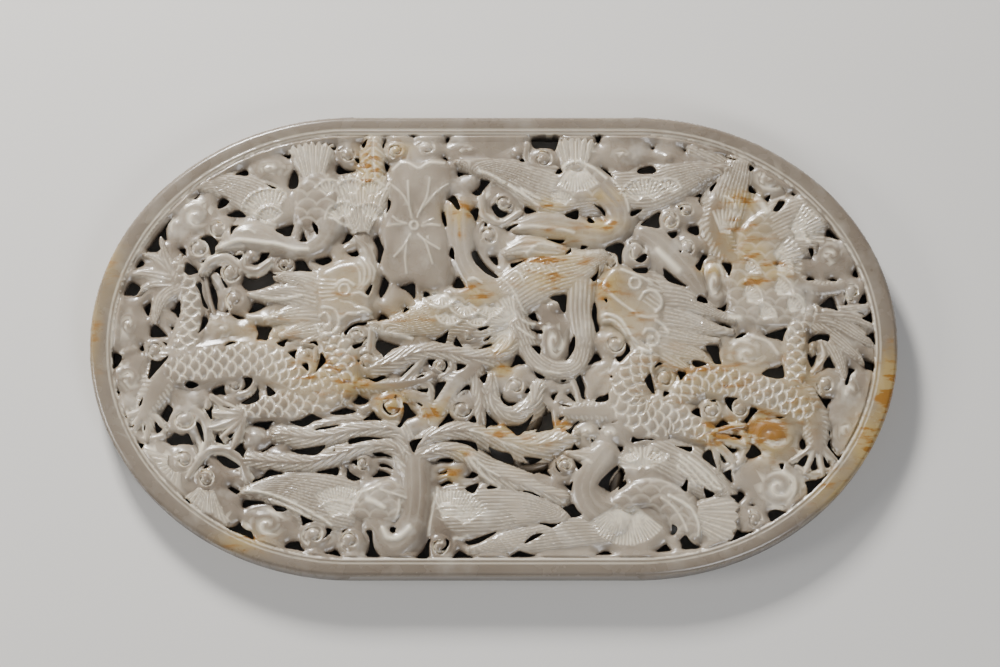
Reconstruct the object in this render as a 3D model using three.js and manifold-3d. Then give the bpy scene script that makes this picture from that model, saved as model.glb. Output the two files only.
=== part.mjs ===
// An oval openwork plaque of pale jade. A plain rim frames a carved field of
// two dragons, long-necked birds, a lotus leaf, clouds, curls and stems.
// It lies on its back: X runs along it, Y across it and Z up through it.
import * as THREE from "three";
import { mergeVertices } from "three/addons/utils/BufferGeometryUtils.js";
import Module from "manifold-3d";

// the plaque's own sizes, in millimetres
const LENGTH = 161.6;
const WIDTH = 93.4;
const STRAIGHT_RUN = 56.8;
const RIM_HEIGHT = 7;
const RIM_AT_SIDES = 4.5;
const RIM_AT_TOP = 3.6;
const OUTER_ROUND = 0.9;
const INNER_BEVEL = 0.35;
const FOOT_BEVEL = 0.5;

// the carved field: its ground and the height of its boldest figures
const GROUND_HEIGHT = 4.3;
const CREST_HEIGHT = 7.7;
const ROOT_DEPTH = 0.8;
const PLATE_GRIP = 1;
const FINEST_EDGE = 0.3;

// the size of the drawing that the rows below are measured on, and how far its
// middle line lies above the rim's
const DRAWN_HALF_LENGTH = 76.3;
const DRAWN_HALF_WIDTH = 43.1;
const DRAWN_MIDDLE = 0.6;
const RUNS_TO_RIM = 41.8;
const RIM_REACH = 1.2;

// how round the curved shapes are
const END_STEPS = 26;
const BOSS_SIDES = 7;
const STROKE_STEP = 7;
const CROWN_SHARE = 0.62;
const BOSS_TOP = 0.74;
const PATCH_DRAFT = 0.16;
const CLAW_WIDTHS = [1.2, 2.2];
const ARC_SHARE = 1 - Math.SQRT1_2;

// Each stroke is a crest, as a share of the highest, then widths, then the points it runs by.
// left dragon: tail fronds, tail, body, chest and neck, legs, mane
const LEFT_DRAGON = [
  [0.86, [3.4, 2.6, 0.5], [-63.8, 14, -66, 18.4, -67, 22.8]],
  [0.84, [3.4, 2.8, 0.6], [-64, 14.5, -67.5, 17.8, -70.4, 19]],
  [0.86, [3.2, 2.8, 0.8], [-63.5, 13.8, -69, 15, -73.6, 14.9]],
  [0.84, [3, 2.4, 0.7], [-63.5, 13, -68.5, 12.8, -71.8, 10.8]],
  [0.86, [3.6, 3.2, 1.2], [-63, 12.5, -66.4, 10, -67.9, 5]],
  [0.9, [2.4, 2, 0.6], [-63.6, 14.5, -63, 17, -62.8, 18.8]],
  [0.92, [3.4, 4.2, 4.4, 5.4, 6.6], [-63, 16.6, -61, 12, -60.6, 6, -61.6, 0.6, -63.2, -4]],
  [0.93, [6.5, 6.4, 5.4, 3.4], [-64, -3, -66.4, -7, -68.6, -10.8, -69.6, -13.6]],
  [1, [6, 7.4, 7.6, 7.6, 7.4, 7, 6.5], [-63.5, -4.5, -57.5, -3.4, -51.5, -2.7, -46, -2.7, -41, -4.6,
    -36.5, -7.6, -32, -9]],
  [0.98, [3.6, 5.4, 6.6, 8, 7.6, 6.6, 5.5], [-48.5, -12.8, -43.5, -11.8, -38, -11, -33, -8.6, -30.8, -5,
    -31, -0.5, -32.5, 3]],
  [0.93, [7, 5, 1.2], [-31, 9.5, -38, 13, -44.2, 14.6]],
  [0.95, [7, 5, 1], [-31, 8, -40, 10.6, -49, 10.8]],
  [0.93, [7, 5.5, 1.2], [-31, 6.5, -38, 7, -45.5, 5.6]],
  [0.91, [7, 5, 1.2], [-31, 5, -37.5, 3.8, -42.5, 2.4]],
  [0.91, [6, 4, 1.2], [-31, 4, -35, 1.8, -38, 0.8]],
  [0.8, [1.8, 2, 2, 1.6], [-75.5, -16, -73, -17.7, -69.8, -18.7, -65.6, -18]],
  [0.8, [1.4, 1.8, 1.8, 1.4], [-57, -10.8, -57, -15.5, -55.4, -19.8, -51.4, -20.4]],
];
// right dragon: snout line, body, tail, fronds, legs, mane
const RIGHT_DRAGON = [
  [1, [5, 7, 8, 8, 9, 6, 3.4], [31, -2, 27.5, -6, 26.5, -11, 30, -14.4, 35.5, -14.2, 39.5, -16.2, 42.6,
    -17.8]],
  [1, [4.5, 6, 6.2, 7, 7, 6], [37.5, -9.5, 41.5, -6.6, 46.5, -7, 52, -8.4, 57.5, -10.4, 62, -12.6]],
  [0.92, [6, 4.6, 4.4, 4.4, 4.2], [58.5, -11, 60.2, -6, 60.3, -1, 60.6, 4, 63.8, 6.4]],
  [0.94, [6, 5.6, 4.8, 3.4], [61.5, -10.5, 63.6, -14, 64.4, -17.4, 64.5, -20.2]],
  [0.9, [3.4, 3.4, 3, 1.4], [62, 6.2, 68, 5.4, 73, 2.4, 76.6, 0]],
  [0.89, [3, 3.2, 1.2], [64.5, 4.6, 69.6, 0.6, 73.8, -3]],
  [0.88, [3, 3, 1.2], [66, 3, 68.6, -1.4, 70.2, -6.6]],
  [0.9, [2.8, 2.6, 1.6], [66.5, 6.6, 71.5, 6.2, 76.4, 4.2]],
  [0.86, [2, 2, 1.2], [69.2, 7.4, 72.4, 7.8, 76, 8.4]],
  [0.94, [7, 5.4, 3, 1], [32, 10.5, 38, 9.8, 43, 7.6, 48, 5.4]],
  [0.94, [6, 5, 3, 1], [32.5, 6.5, 38, 5.4, 43, 3.8, 47.6, 3.2]],
  [0.93, [6, 5, 3.4, 1], [33, 3, 37.5, 2, 41.5, 1.2, 44.8, 1.4]],
  [0.93, [5, 5, 3.4, 1], [33.5, 0.5, 37.5, -0.8, 40.6, -1.8, 43.4, -3.4]],
  [0.92, [4, 4, 1.4], [33.5, -1.5, 36, -3, 38.9, -4.6]],
  [0.98, [1, 1.4, 1], [22.4, 6, 27, 2.6, 31.4, -1.2]],
  [0.8, [1.6, 2, 2], [60.4, -24.2, 63.5, -25.7, 68.6, -24.4]],
  [0.84, [1.8, 2, 2, 1.6], [48.6, -15.6, 50.4, -19.2, 49.2, -23, 46.8, -25]],
];
// crane at the top left: neck and head, beak, wings, legs
const CRANE = [
  [0.99, [5, 4, 3.4, 3.6, 4.4, 5, 3.6], [-33, 25.5, -35, 21.5, -38.5, 19.9, -42.5, 20.8, -46, 22.2, -49.5,
    22.9, -52.4, 22.4]],
  [0.94, [3, 2.4, 0.8], [-50.5, 21.6, -53.5, 21, -56.4, 19.6]],
  [0.9, [7, 6.8, 5, 2], [-45.5, 29.8, -50.5, 32, -55, 33.3, -59.5, 33.2]],
  [0.8, [2.2, 1.8], [-38.9, 26.2, -40, 22]], [0.8, [2.2, 1.8], [-37.5, 26, -37.2, 21.6]],
  [0.94, [3.2, 4.8, 3], [-24.4, 42.6, -24.4, 38.8, -24, 35]],
  [0.8, [2.4, 2.2, 2], [-27.6, 22.4, -25.2, 20, -24, 15.6]],
];
// phoenix in the middle: neck, two wings and the tail that sweeps under it
const PHOENIX = [
  [0.97, [4.6, 5, 4.4, 3.8, 5, 7], [-7, 28.4, -7, 24.5, -6.6, 20, -5.6, 16.6, -3.5, 13.5, -1, 10]],
  [0.95, [9, 8, 6, 4, 1], [-3, 6.5, -9, 6.6, -15, 5.2, -20, 4.2, -25, 4.7]],
  [0.95, [8, 8.6, 8.4, 7, 3.4], [2, 9.5, 7, 13, 12, 15, 17, 16.2, 21.5, 18.2]],
  [0.93, [2, 4.4, 4, 1.6], [2.6, 19.4, 6.5, 20.6, 10.5, 20.2, 14.6, 19.4]],
  [0.94, [4, 3.6, 3.4, 3.4, 3.6, 3.8], [3.5, 7.5, 5.6, 3, 8.2, -2.2, 12.5, -4.7, 16.6, -3.6, 18, 1]],
  [0.93, [3.8, 4.8, 5], [18, 0.5, 17.4, 7, 17.6, 12.8]],
  [0.9, [4, 4, 3.4, 3.6, 4, 3.6], [-23.5, -4, -19.5, -2.8, -15, -1, -10, -0.9, -5, -2, 0, -2.2]],
  [0.9, [3, 3.4, 3.6], [0, -2.2, 3.4, 0.4, 5.4, 4]],
];
// crane at the top right: beak and neck, two wings, feathers at the rim
const TOP_BIRD = [
  [0.98, [2, 4.4, 4.8, 4.6, 4.6, 4.6, 4.6, 5], [4.5, 24.6, 9, 25, 14, 24.4, 19, 23.2, 23, 23.2, 25.6,
    25.6, 25, 29, 22, 32.4]],
  [0.95, [1, 4, 6, 8, 8, 7], [-7.5, 38, -2, 36.8, 3.5, 35.2, 8.5, 33, 13.5, 31.6, 19, 32]],
  [0.95, [7, 8, 7, 4.6, 1.4], [25.5, 32, 31, 32.2, 37, 34.2, 42, 35.8, 47.5, 36.6]],
  [0.86, [2, 3.4, 3], [48, 36.8, 44.5, 38.8, 40.5, 40.8]],
];
// large bird at the right: back, raised wing, far wing, tail
const RIGHT_BIRD = [
  [0.94, [4.5, 5.4, 5, 3], [45, 29, 44.6, 24.5, 46.4, 20.4, 48.6, 17]],
  [0.95, [6.5, 7, 6.5, 5], [46.8, 27, 47.6, 31, 48.6, 34.5, 49.6, 37.6]],
  [0.95, [7, 8.4, 8, 6], [54, 22.5, 58.5, 24.8, 62.5, 26.6, 66, 27.8]],
  [0.93, [7, 7.4, 6, 3], [53, 17, 57.5, 19.2, 61, 20.4, 63.6, 20.6]],
  [0.88, [3.4, 3, 2.6], [59.6, 13.8, 65, 12, 70, 12.4]],
  [0.98, [3.6, 5.4, 5.6, 5.2, 3], [30.4, 23.2, 32.6, 22, 35.8, 18.4, 39, 15, 41.4, 11.4]],
];
// bird at the bottom: neck, two wings and four tail plumes
const BOTTOM_BIRD = [
  [0.97, [5, 5, 5, 5.4, 5], [-15.6, -24, -15.4, -30, -16.5, -36, -19.8, -39.4, -23, -36]],
  [0.94, [10, 9.4, 7, 4.6, 1.6], [-31.5, -31.5, -36, -30.3, -41, -28.9, -45, -28.6, -49.8, -29.3]],
  [0.93, [9, 9, 7, 3], [-6, -33, 0, -32.8, 6, -32.6, 13.5, -34.2]],
  [0.94, [3.4, 3.6, 3.4, 3.6, 4.4, 2.5], [-16.4, -21, -19, -17, -24, -16.5, -30, -17.3, -36, -18.2, -43,
    -17.6]],
  [0.93, [3, 3, 3.2, 3.4, 3.4, 3.2, 3], [-17, -25, -19.5, -20.6, -25, -19.9, -30, -21.3, -36, -23.2, -43,
    -23.2, -49, -22.8]],
  [0.84, [1.6, 2.6, 2.4, 1], [-24, -15, -30, -14.7, -35, -15.8, -38.5, -17]],
  [0.94, [3.2, 3.2, 3.4, 3.2, 3.4, 4, 3.4], [-15, -20, -11.6, -17.6, -6, -16.9, 0, -18.2, 6, -19.8, 11,
    -19.4, 15.4, -18]],
  [0.94, [3, 3, 3.4, 3.6, 3.4, 2.6], [-15, -22, -10, -20.8, -5.6, -21.6, -1.6, -24.8, 4, -27.2, 13.6,
    -30.4]],
];
// crane at the bottom right: head and neck, far wing, raised wing
const LOW_CRANE = [
  [0.98, [4.6, 4.8, 4.8, 5.5, 6], [21.8, -21.8, 19.2, -25.4, 18.2, -29, 20, -32.6, 24, -34.5]],
  [0.93, [3, 2.4, 1], [21.5, -21.6, 18, -21.8, 14.6, -21.4]],
  [0.97, [6.6, 7, 5, 1.5], [34, -21.8, 39, -24.4, 43.5, -27.6, 47.5, -30]],
  [0.92, [1.5, 4, 5.4, 6, 5], [-4.8, -40.9, 2, -39.4, 8, -38.4, 15, -37.4, 22, -37]],
];
// stems, tendrils and loose plumes between the figures
const STEMS = [
  [0.75, [1.7, 1.6, 1.8], [-60.2, -14.5, -59.2, -17.5, -58, -20.5]],
  [0.86, [2.2, 2, 2, 2], [-60, -12.5, -57.8, -14.5, -56.8, -18, -57.6, -21.5]],
  [0.9, [2, 1.9, 2, 2, 2.4], [-60.4, -26, -57.4, -21.4, -53.5, -20.7, -50.5, -22.6, -48.8, -26.6]],
  [0.75, [1.2, 1.2, 1.2], [-58, 14.5, -57.3, 11, -56, 6.8]],
  [0.75, [1.4, 1.4, 1.6], [-56.2, 14.6, -54.4, 11.6, -54.4, 8]],
  [0.85, [1.6, 2.4, 2.4, 2], [-58.5, 15.5, -56.8, 17.6, -54, 18.4, -51.6, 16.6]],
  [0.85, [1.8, 2, 2, 1.8], [-50.9, 19, -50.3, 16.2, -47.5, 15.6, -45, 17.4]],
  [0.84, [1.4, 1.4], [-35.4, 0.2, -36, -4.6]],
  [0.8, [1.8, 1.8, 1.6], [-47.8, -6.4, -48.6, -8.8, -51.4, -9.8]],
  [0.85, [2, 2], [-24.4, 4.4, -24.6, -0.4]],
  [0.88, [2, 3, 2.8, 2], [-28, -7.5, -22.5, -8, -17, -7.4, -12.6, -6]],
  [0.88, [2, 3, 3.4, 3.4], [-17.5, -9.4, -14.5, -10.6, -13, -13, -11.6, -14.8]],
  [0.86, [1.6, 1.8, 1.2], [-15.5, -7, -13, -7.8, -12.4, -10.8]],
  [0.84, [1.4, 1.6, 1.6], [-8.4, -2.4, -8.3, -4.4, -10.4, -6]],
  [0.84, [1.8, 2.2, 1.6], [-14, -2.4, -15.7, -4.6, -18, -6.6]],
  [0.9, [4, 4.4, 4], [-4, -4.2, -7.3, -7.2, -10.4, -11.8]],
  [0.88, [3, 3.6, 3], [-3.4, -5.5, -2.4, -10, -2.8, -14.6]],
  [0.88, [3, 3.2, 3.2, 3, 3], [-0.4, -6.5, -0.3, -10.7, 3.4, -13.4, 7.6, -11.6, 9, -8]],
  [0.88, [3, 4, 5], [14.8, -13, 19, -13, 24.5, -12.6]],
  [0.8, [1.6, 1.8, 1.4], [15, -4.8, 16.4, -8, 17.2, -11]],
  [0.84, [1.8, 1.8, 1.8, 1.8], [-2.4, 31.4, -2, 27.2, 1.2, 25.3, 5, 27.4]],
  [0.84, [1.6, 1.6, 1.6], [6.6, 41.6, 6.9, 37.8, 12.4, 36.6]],
  [0.84, [1.6, 1.8, 1.6], [25.8, 3.6, 27.4, 1.4, 29, -2]],
  [0.84, [1.5, 1.5, 1.5], [65.6, 1.4, 66.2, -2, 64, -5]],
];
// claws: a crest, how many, their root, the way they point, their spread and reach
const CLAWS = [
  [0.9, 4, -69.7, -12.6, 262, 112, 0.5, 6.2], [0.9, 5, -49.4, -13.8, 204, 98, 0.5, 7.8],
  [0.9, 4, 64.4, -19.4, 268, 98, 0.6, 6.4], [0.93, 4, 42.4, -17.8, -27, 90, 0.6, 7.8],
];
// heads, bodies and the lotus leaf: a crest and an outline
const PATCHES = [
  [1, [-36, 10, -35, 15, -31, 17, -27, 17.6, -24.5, 16, -23.8, 13, -25, 9.5, -24.5, 6.5, -27, 5.2, -31, 4,
    -35, 5]],
  [1, [20.8, 9, 21.5, 13, 24, 16.4, 28, 15.4, 32, 14, 34.5, 10.5, 34, 5, 31, 1, 27.5, 1.2, 24.5, 4.6,
    21.6, 5.4]],
  [0.98, [-40, 30, -39.3, 34, -36, 36, -32.5, 35, -31.5, 31, -32.5, 27, -33.5, 23.6, -36, 23.5, -39.5,
    25.5]],
  [0.98, [12, 33.6, 14.5, 37, 17.5, 38, 20.5, 36.6, 22.8, 34.4, 24, 31.5, 21, 29.6, 16, 29.4, 12.6,
    30.4]],
  [0.98, [22, -32, 26.5, -28.2, 31, -26.6, 36, -27.8, 39.6, -31, 41, -36, 40, -39.4, 36.8, -37.6, 34.4,
    -33.6, 30, -31.6, 25.5, -33.6]],
  [0.97, [-28, -30, -24.6, -28, -20, -27, -17, -29, -17.4, -33.6, -21, -35.6, -25, -35.4, -28.6, -33.4]],
  [0.92, [-15, 37.4, -18, 38.6, -20.8, 36, -21.4, 33, -20.6, 30, -21.7, 27, -22.6, 24.5, -22, 20, -22.8,
    17, -22, 15, -20, 13, -17, 13.7, -14.5, 12, -12, 11.6, -9.4, 12.5, -8.9, 14.5, -8.6, 17, -9, 20.5,
    -9.5, 23, -10.6, 26, -10.8, 29, -9.6, 31.5, -8, 34, -9, 37.4, -12, 38.8]],
  [0.96, [-13, 3.6, -13.6, 8, -10, 11.4, -5, 12.4, 0, 12.6, 4, 11, 5.4, 7.6, 4, 4.6, 0.6, 3.4, -4.8, 4.8,
    -9, 3.2]],
  [0.96, [47.4, 8, 46.6, 14, 48.6, 19.5, 50, 25, 54.8, 28.6, 57, 24, 60, 17, 62, 12.6, 62.4, 8, 58.4, 4,
    52, 4.4]],
];
// clouds, curls and balls: a crest, a place, two radii and a turn in degrees
const BOSSES = [
  [0.9, -60, 27, 4.8, 4.2, 10], [0.84, -63.4, 24.6, 2.6, 3, 0], [0.86, -59.5, 20.4, 2.7, 2.6, 0],
  [0.86, -55.4, 24.4, 2.6, 2.5, 0], [0.86, -52.8, 15.4, 2.4, 2.7, 0], [0.84, -51.8, 9.8, 2.6, 2.6, 0],
  [0.88, -45, 36.8, 4.8, 2.9, 0], [0.88, -73, 4.6, 3.6, 4.6, 0], [0.88, -72.6, -6.2, 3.5, 4, 0],
  [0.84, -72.8, -11.2, 2.7, 2.8, 0], [0.87, -61.8, -14.6, 3.2, 3, 0], [0.86, -54.2, 3.6, 3.8, 3.1, 0],
  [0.82, -49.8, 3.6, 2.4, 2.6, 0], [0.89, -25.2, -3, 2.6, 2.7, 0], [0.96, -20.6, -12, 3, 2.9, 0],
  [0.9, -6.4, -12.4, 2.6, 2.5, 0], [0.92, 12, 1.4, 2.8, 5, 0], [0.86, 22.4, -6.2, 3, 3, 0],
  [0.88, 55, 34.6, 4.5, 3.3, -25], [0.88, 67.8, 18.8, 4, 3.9, 0], [0.92, 44.2, 13.4, 2.8, 5.4, 0],
  [0.9, 28.6, 19.4, 2.8, 3, 0], [0.86, -5.5, 40.6, 4.8, 2.4, 0], [0.86, 26.2, 39.6, 5, 3, 0],
  [0.9, -44.8, -35.7, 5.2, 4.2, -10], [0.88, -35.6, -37.8, 3, 2.6, 0], [0.88, -28.4, -38.9, 2.6, 2.6, 0],
  [0.92, 56.4, -28, 5.6, 5.2, 0], [0.92, 55.4, -17.8, 5.4, 4.6, -20], [0.88, 71.2, -8.8, 3.8, 4.5, 0],
  [0.86, 70.2, -16.6, 3.3, 4.6, 0], [0.9, 50.6, -1.2, 5.6, 4.2, -10], [0.88, 34.2, -6.4, 2.3, 2.7, 0],
  [0.86, 18.8, -17, 2.8, 2.2, 0], [0.86, 23.4, -17.4, 2.8, 2.2, 0], [0.88, 66.2, -7.6, 2.4, 2.6, 0],
  [0.85, -47.4, -18.4, 2.8, 2.4, 0], [0.84, -47.2, -23.2, 2.8, 2.4, 0], [0.86, 72.6, -13.6, 2.4, 3.4, 0],
];
// openings beside the left dragon, its tail and its claws
const OPEN_LEFT = [
  [-55.1, 31.2, -52.8, 29.8, -55.9, 28.1],
  [-64.6, 26.8, -67.6, 23.4, -70.2, 19.6, -66.7, 19.7, -67.4, 21.3, -67.1, 22.8, -65.7, 21.8, -66.1,
    24.3],
  [-73, 13.9, -70.5, 12.3, -71.6, 10.4, -72.9, 10.8, -74.4, 10.7],
  [-61.8, 17.8, -58.8, 15.6, -61.2, 14.4, -62.2, 15.5],
  [-59.3, 22.4, -57.2, 23.4, -55.2, 21.6, -56, 20.3, -55.8, 19.3, -56.9, 18.7, -57, 20, -57.8, 21.7],
  [-60, 13.1, -58.6, 13.6, -58.4, 10.5, -57, 7.8, -58.3, 8.3, -58.8, 11.2],
  [-57.2, 13.3, -56.2, 12.7, -55.3, 10.5, -55.6, 7.3, -56.5, 9.9],
  [-64.8, 7.7, -63.8, 8.3, -63.6, 9.2, -62.8, 9.7, -62.6, 7.6, -63.1, 5.7, -63.7, 7],
  [-58.3, 6.8, -57, 5.7, -57.7, 4.2, -59.3, 2.4, -58.6, 4.4],
  [-68.8, 1.9, -68.7, 4.4, -68.1, 4.8, -67.3, 4.6, -65.2, 2.3, -66, 2.3],
  [-76.5, -0.6, -74, -1.6, -75, -3.7, -76.3, -4.6, -76.6, -5.7, -76.4, -3],
  [-68.6, -2.5, -68, -2.5, -67, -2.9, -65, -1.7, -65, -2.3, -67, -4.6, -68.7, -6.7, -69.1, -6, -68.6, -4],
  [-61.8, -7.7, -60.9, -6.5, -58.4, -7.6, -60.4, -8.5],
  [-56.4, -8.3, -53.7, -7.4, -53.8, -8.5, -53.4, -9.6, -54.5, -9.3, -55.9, -9.6],
];
// openings round the crane and along the top of the rim
const OPEN_TOP_LEFT = [
  [-54.2, 27.1, -51.6, 28.7, -49.4, 26.8, -51.8, 26.8],
  [-40.4, 36.8, -39.6, 35.6, -39.3, 34.3, -39.5, 32.5, -41.5, 32.7, -41.2, 35],
  [-31.5, 38, -30.4, 36.9, -29, 36.5, -27.6, 36.3, -31.9, 35.5],
  [-2.8, 34.9, -0.4, 34.1, -1.9, 32.9, -2.5, 31.1, -3.5, 31.2, -4.5, 31.9, -3.1, 32.9, -2.7, 33.7],
  [-9.6, 30.4, -7.9, 31.7, -6.5, 28.1, -7.4, 27.9, -8.4, 29.5],
];
// openings round the upper birds
const OPEN_TOP_RIGHT = [
  [7.3, 42.4, 13.5, 42.6, 12.5, 40.2, 11.5, 41, 10, 41, 8.1, 40.7],
  [-0.7, 29, 0.6, 29.7, 1, 28.5, 3.3, 27.7, 1.5, 26.5, 0.4, 27.2], [13.7, 27, 17.2, 28.7, 17, 25.7],
  [28.7, 35.6, 29.2, 36.9, 32, 37.6, 33, 36.2, 32, 35.4],
  [33.8, 27.8, 33.2, 26.5, 33.6, 24.2, 31.5, 24.5, 29, 25, 32.6, 27.8],
  [39.3, 25.1, 41.3, 25.3, 41.4, 22.8, 39, 23.8], [57.5, 30.3, 59, 30, 57.3, 27.6, 56, 27.9, 57, 29.5],
];
// openings round the left dragon's mane and the lotus leaf
const OPEN_MANE = [
  [-44.5, 24, -42, 25.1, -40, 25.5, -40.5, 23.8, -41.2, 22.3],
  [-36.3, 18.1, -34.4, 18.5, -33.2, 18.9, -32.6, 18.3, -32.6, 17.5, -34.5, 16.8],
  [-40, 18, -38, 18.1, -37.3, 16.4, -36, 15.5, -39.5, 15.7, -40.4, 15.2, -39.7, 16.2],
  [-47, 19.5, -44.8, 19.5, -45.5, 18.5, -46.5, 17.5, -47.8, 17, -48.6, 17.3, -47.4, 17.8, -46.9, 18.7],
  [-50.2, 15, -49.3, 14.4, -48, 14.2, -46.5, 14.8, -45, 15.8, -44.4, 15.4, -43.2, 14.6, -44.5, 14.5,
    -43.7, 13.2, -46.5, 11.9, -48.5, 11.3, -50.6, 12.4],
  [-48.3, 9.5, -46.8, 9.2, -45.5, 8.7, -47.5, 7.4, -49.3, 7.1, -48.6, 8.2],
  [-24.3, 22.3, -23.2, 23.1, -22.7, 21.5, -21.9, 20.1, -22.4, 18.9, -22.8, 16.9, -23.5, 17.7, -23.2, 18.7,
    -23.3, 20.4],
  [-22.2, 14.9, -21.5, 13.9, -20.9, 13.3, -21.6, 11.5, -22.7, 10, -23.1, 11.6, -22.6, 13.2],
  [-19, 12.5, -17.6, 13, -16.2, 13.4, -15.6, 12.7, -15.8, 9.7, -17, 11.4],
];
// openings round the phoenix and the dragons' heads
const OPEN_MIDDLE = [
  [-4.6, 19.5, -3.7, 20.2, -2.8, 18.4, -1.4, 16.6, 1.3, 14.3, 0.5, 14, -1.8, 15.1, -3.8, 17.2, -4.3,
    18.3],
  [-8.5, 12, -7.5, 14.5, -6.9, 14.6, -5.4, 12],
  [11, 10.1, 12, 10.8, 14.7, 11.1, 14.6, 9, 14.4, 7, 13.5, 7.5, 12.9, 9.3],
  [22.3, 19.8, 22.7, 20.7, 25, 21.7, 26.5, 21.1, 25.7, 19.5, 25.8, 17, 25, 17, 24.9, 19],
  [42, 19.4, 43.2, 18.8, 42.1, 17.7, 41.5, 15.2, 40.2, 16.5, 41.3, 17.8],
  [45.5, 17.6, 48.1, 17.2, 47.2, 14.1, 46.8, 15.4],
  [33.9, 16.5, 36, 14.7, 38.3, 12.8, 39.2, 12.1, 35, 13.3, 34.2, 14.5],
  [27.5, 16.1, 31, 16.7, 30.9, 15.1, 28.8, 15],
];
// openings beside the right bird and the right dragon's tail
const OPEN_FAR_RIGHT = [
  [65, 8.4, 66.2, 9.4, 67.8, 10.9, 68.5, 9.3, 69.2, 7.2, 67.6, 7.9],
  [62.7, 0.7, 63.2, 1.9, 64.5, 2.9, 67.4, 2.7, 66.9, 0.9, 66, 1.5, 64.3, 1.5],
  [67, -1.3, 67.7, -2.8, 68.5, -4.2, 67, -3.9, 65.5, -4.1],
  [73.6, -1.9, 74.6, -2.4, 76.2, -3.2, 76.2, -5.3, 75.5, -4.6, 74.1, -4.1, 74, -2.8],
];
// openings round the left dragon's chest and the curls beside it
const OPEN_CHEST = [
  [-47.8, 4.7, -46, 4.5, -44.1, 4.3, -45, 2.7, -45.2, 1.3, -46.3, 1.5, -47.6, 1.5, -47, 2.9],
  [-34.5, -0.8, -33.3, -2.9, -34.5, -4.1, -35.7, -5.4, -35.3, -4.4, -34.8, -2.6],
  [-47.1, -7.6, -46.9, -9.3, -46.6, -10.9, -48.9, -11.8, -50.8, -11.3, -48.3, -9.8, -47.3, -8.5],
  [-23.4, 2.1, -21, 1.2, -18.5, 0.4, -20.4, -0.3, -22, -2.2, -22.4, -1.3, -23.8, 0],
  [-11.7, -6.9, -9.2, -6.8, -10.3, -8.7, -12, -11.2, -11.7, -9.5],
  [-11.9, 1.5, -9.7, 3, -8.9, 3.5, -9.3, 2.3, -9.6, 0.7, -11, 1],
];
// openings round the right dragon's coils
const OPEN_COILS = [
  [16.1, 2.6, 16.4, 1.5, 16.2, -0.4, 15, -2.2, 13.8, -3.1, 15, -1.6, 15, 0.5],
  [20.1, 9.6, 20.7, 8, 20.6, 5.5, 21.3, 3.8, 20.5, 2.9, 20.1, 4.8, 19.5, 6.8],
  [4.4, -1.2, 4.9, -1.2, 6.7, -3.4, 5, -3.2, 3.3, -4.1, 4, -2.6],
  [20.3, -0.6, 21.8, -2.4, 20.3, -2.8, 18.5, -3.8, 19.6, -2.1],
  [26.1, 1.6, 27.6, -0.4, 26.4, -1.9, 25.1, -3.3, 24.2, -1.8, 25.5, -1.7, 26.4, -0.5, 26.5, 0.6],
  [31.2, -5.1, 31.6, -6.3, 32.3, -9.9, 30.8, -8.3, 30, -6.8, 30.6, -5.8],
  [39.4, -2.6, 41.2, -2.6, 43, -3.5, 40.2, -4.3],
  [42, 0.5, 45.1, 0.8, 45.1, -2.1, 45.7, -3.5, 44, -3.5, 43.4, -1.4],
  [54.1, 2.7, 56.5, 3.6, 59, 4.2, 58.1, 2.6, 57.8, 1.1, 56.9, 1.9, 55, 2.1],
  [53.2, -5.5, 54.9, -4.1, 56.9, -3.9, 57.8, -3.2, 58.2, -6.1, 56.8, -6.5, 54.8, -6.2],
  [45.7, -9.9, 49, -10.3, 47.8, -10.9, 47.4, -12, 47.8, -13.3, 46.8, -12.4],
  [51.2, -11.8, 52.9, -12.6, 51.4, -14, 50.5, -15.4, 50.2, -14.9, 49.7, -14.8, 50.9, -13.5],
];
// openings round the plumes and clouds at the lower left
const OPEN_LOW_LEFT = [
  [-27.1, -9.3, -26.3, -9.9, -24.7, -10.6, -25.5, -11.3, -27, -11.5, -28.3, -11.1, -27.4, -10.2],
  [-18.2, -11.1, -17.2, -11.3, -16.4, -12.7, -15.2, -13.7, -17.5, -14.4, -18.4, -16.5, -19.4, -16.1,
    -18.6, -15.2, -17.9, -13.2, -17.9, -12],
  [-24, -12.7, -23.3, -13.9, -22, -14.9, -24, -14.7, -26.3, -14.9, -24.8, -13.7],
  [-29.7, -12, -27.2, -12.8, -28.6, -13.4, -30.3, -13.8, -32.9, -13.4, -31, -12.6],
  [-36.4, -13.2, -35.2, -13.9, -33.9, -14.4, -35.8, -14.9, -37.5, -16.1, -38.2, -16.2, -39.9, -15.4,
    -40.8, -15, -38.5, -14.6],
  [-43.5, -14.8, -44.4, -15.4, -45.2, -16.8, -46, -16, -48.2, -15.5, -47, -14.9],
  [-65, -11.2, -63.7, -12.6, -64.5, -14, -64.9, -15.4, -66.5, -13.7, -65.7, -12.3],
  [-63.7, -17, -62.3, -17.7, -60.8, -17.1, -60.2, -18.7, -59.7, -19.7, -62, -19.3, -64, -19.9, -65.5,
    -18.5, -64.4, -17.9],
  [-73, -18.2, -71.4, -19.1, -69.3, -19.5, -70.2, -20.8, -70.1, -23, -69.8, -23.7, -71.2, -21.8],
  [-50.2, -18.9, -49.8, -20.4, -49.2, -20.7, -49.7, -22, -49.5, -22.5, -50.2, -22, -50.5, -21.4, -51.8,
    -20.7],
  [-55.6, -21.6, -53.7, -21.7, -51.5, -23, -50, -24.3, -52.3, -24.4, -54, -23.6],
  [-40.6, -20.6, -36, -20.1, -33, -19.5, -34.8, -21.7, -36, -21.9, -38.8, -21.6],
  [-47.8, -26.6, -46, -26.2, -44.8, -24.4, -43.2, -24.9, -41.3, -25.5, -44.4, -26, -48, -27.5],
  [-35.8, -25.3, -33.4, -24.6, -30.8, -23.8, -30.8, -26, -32.5, -25.6],
];
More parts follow.
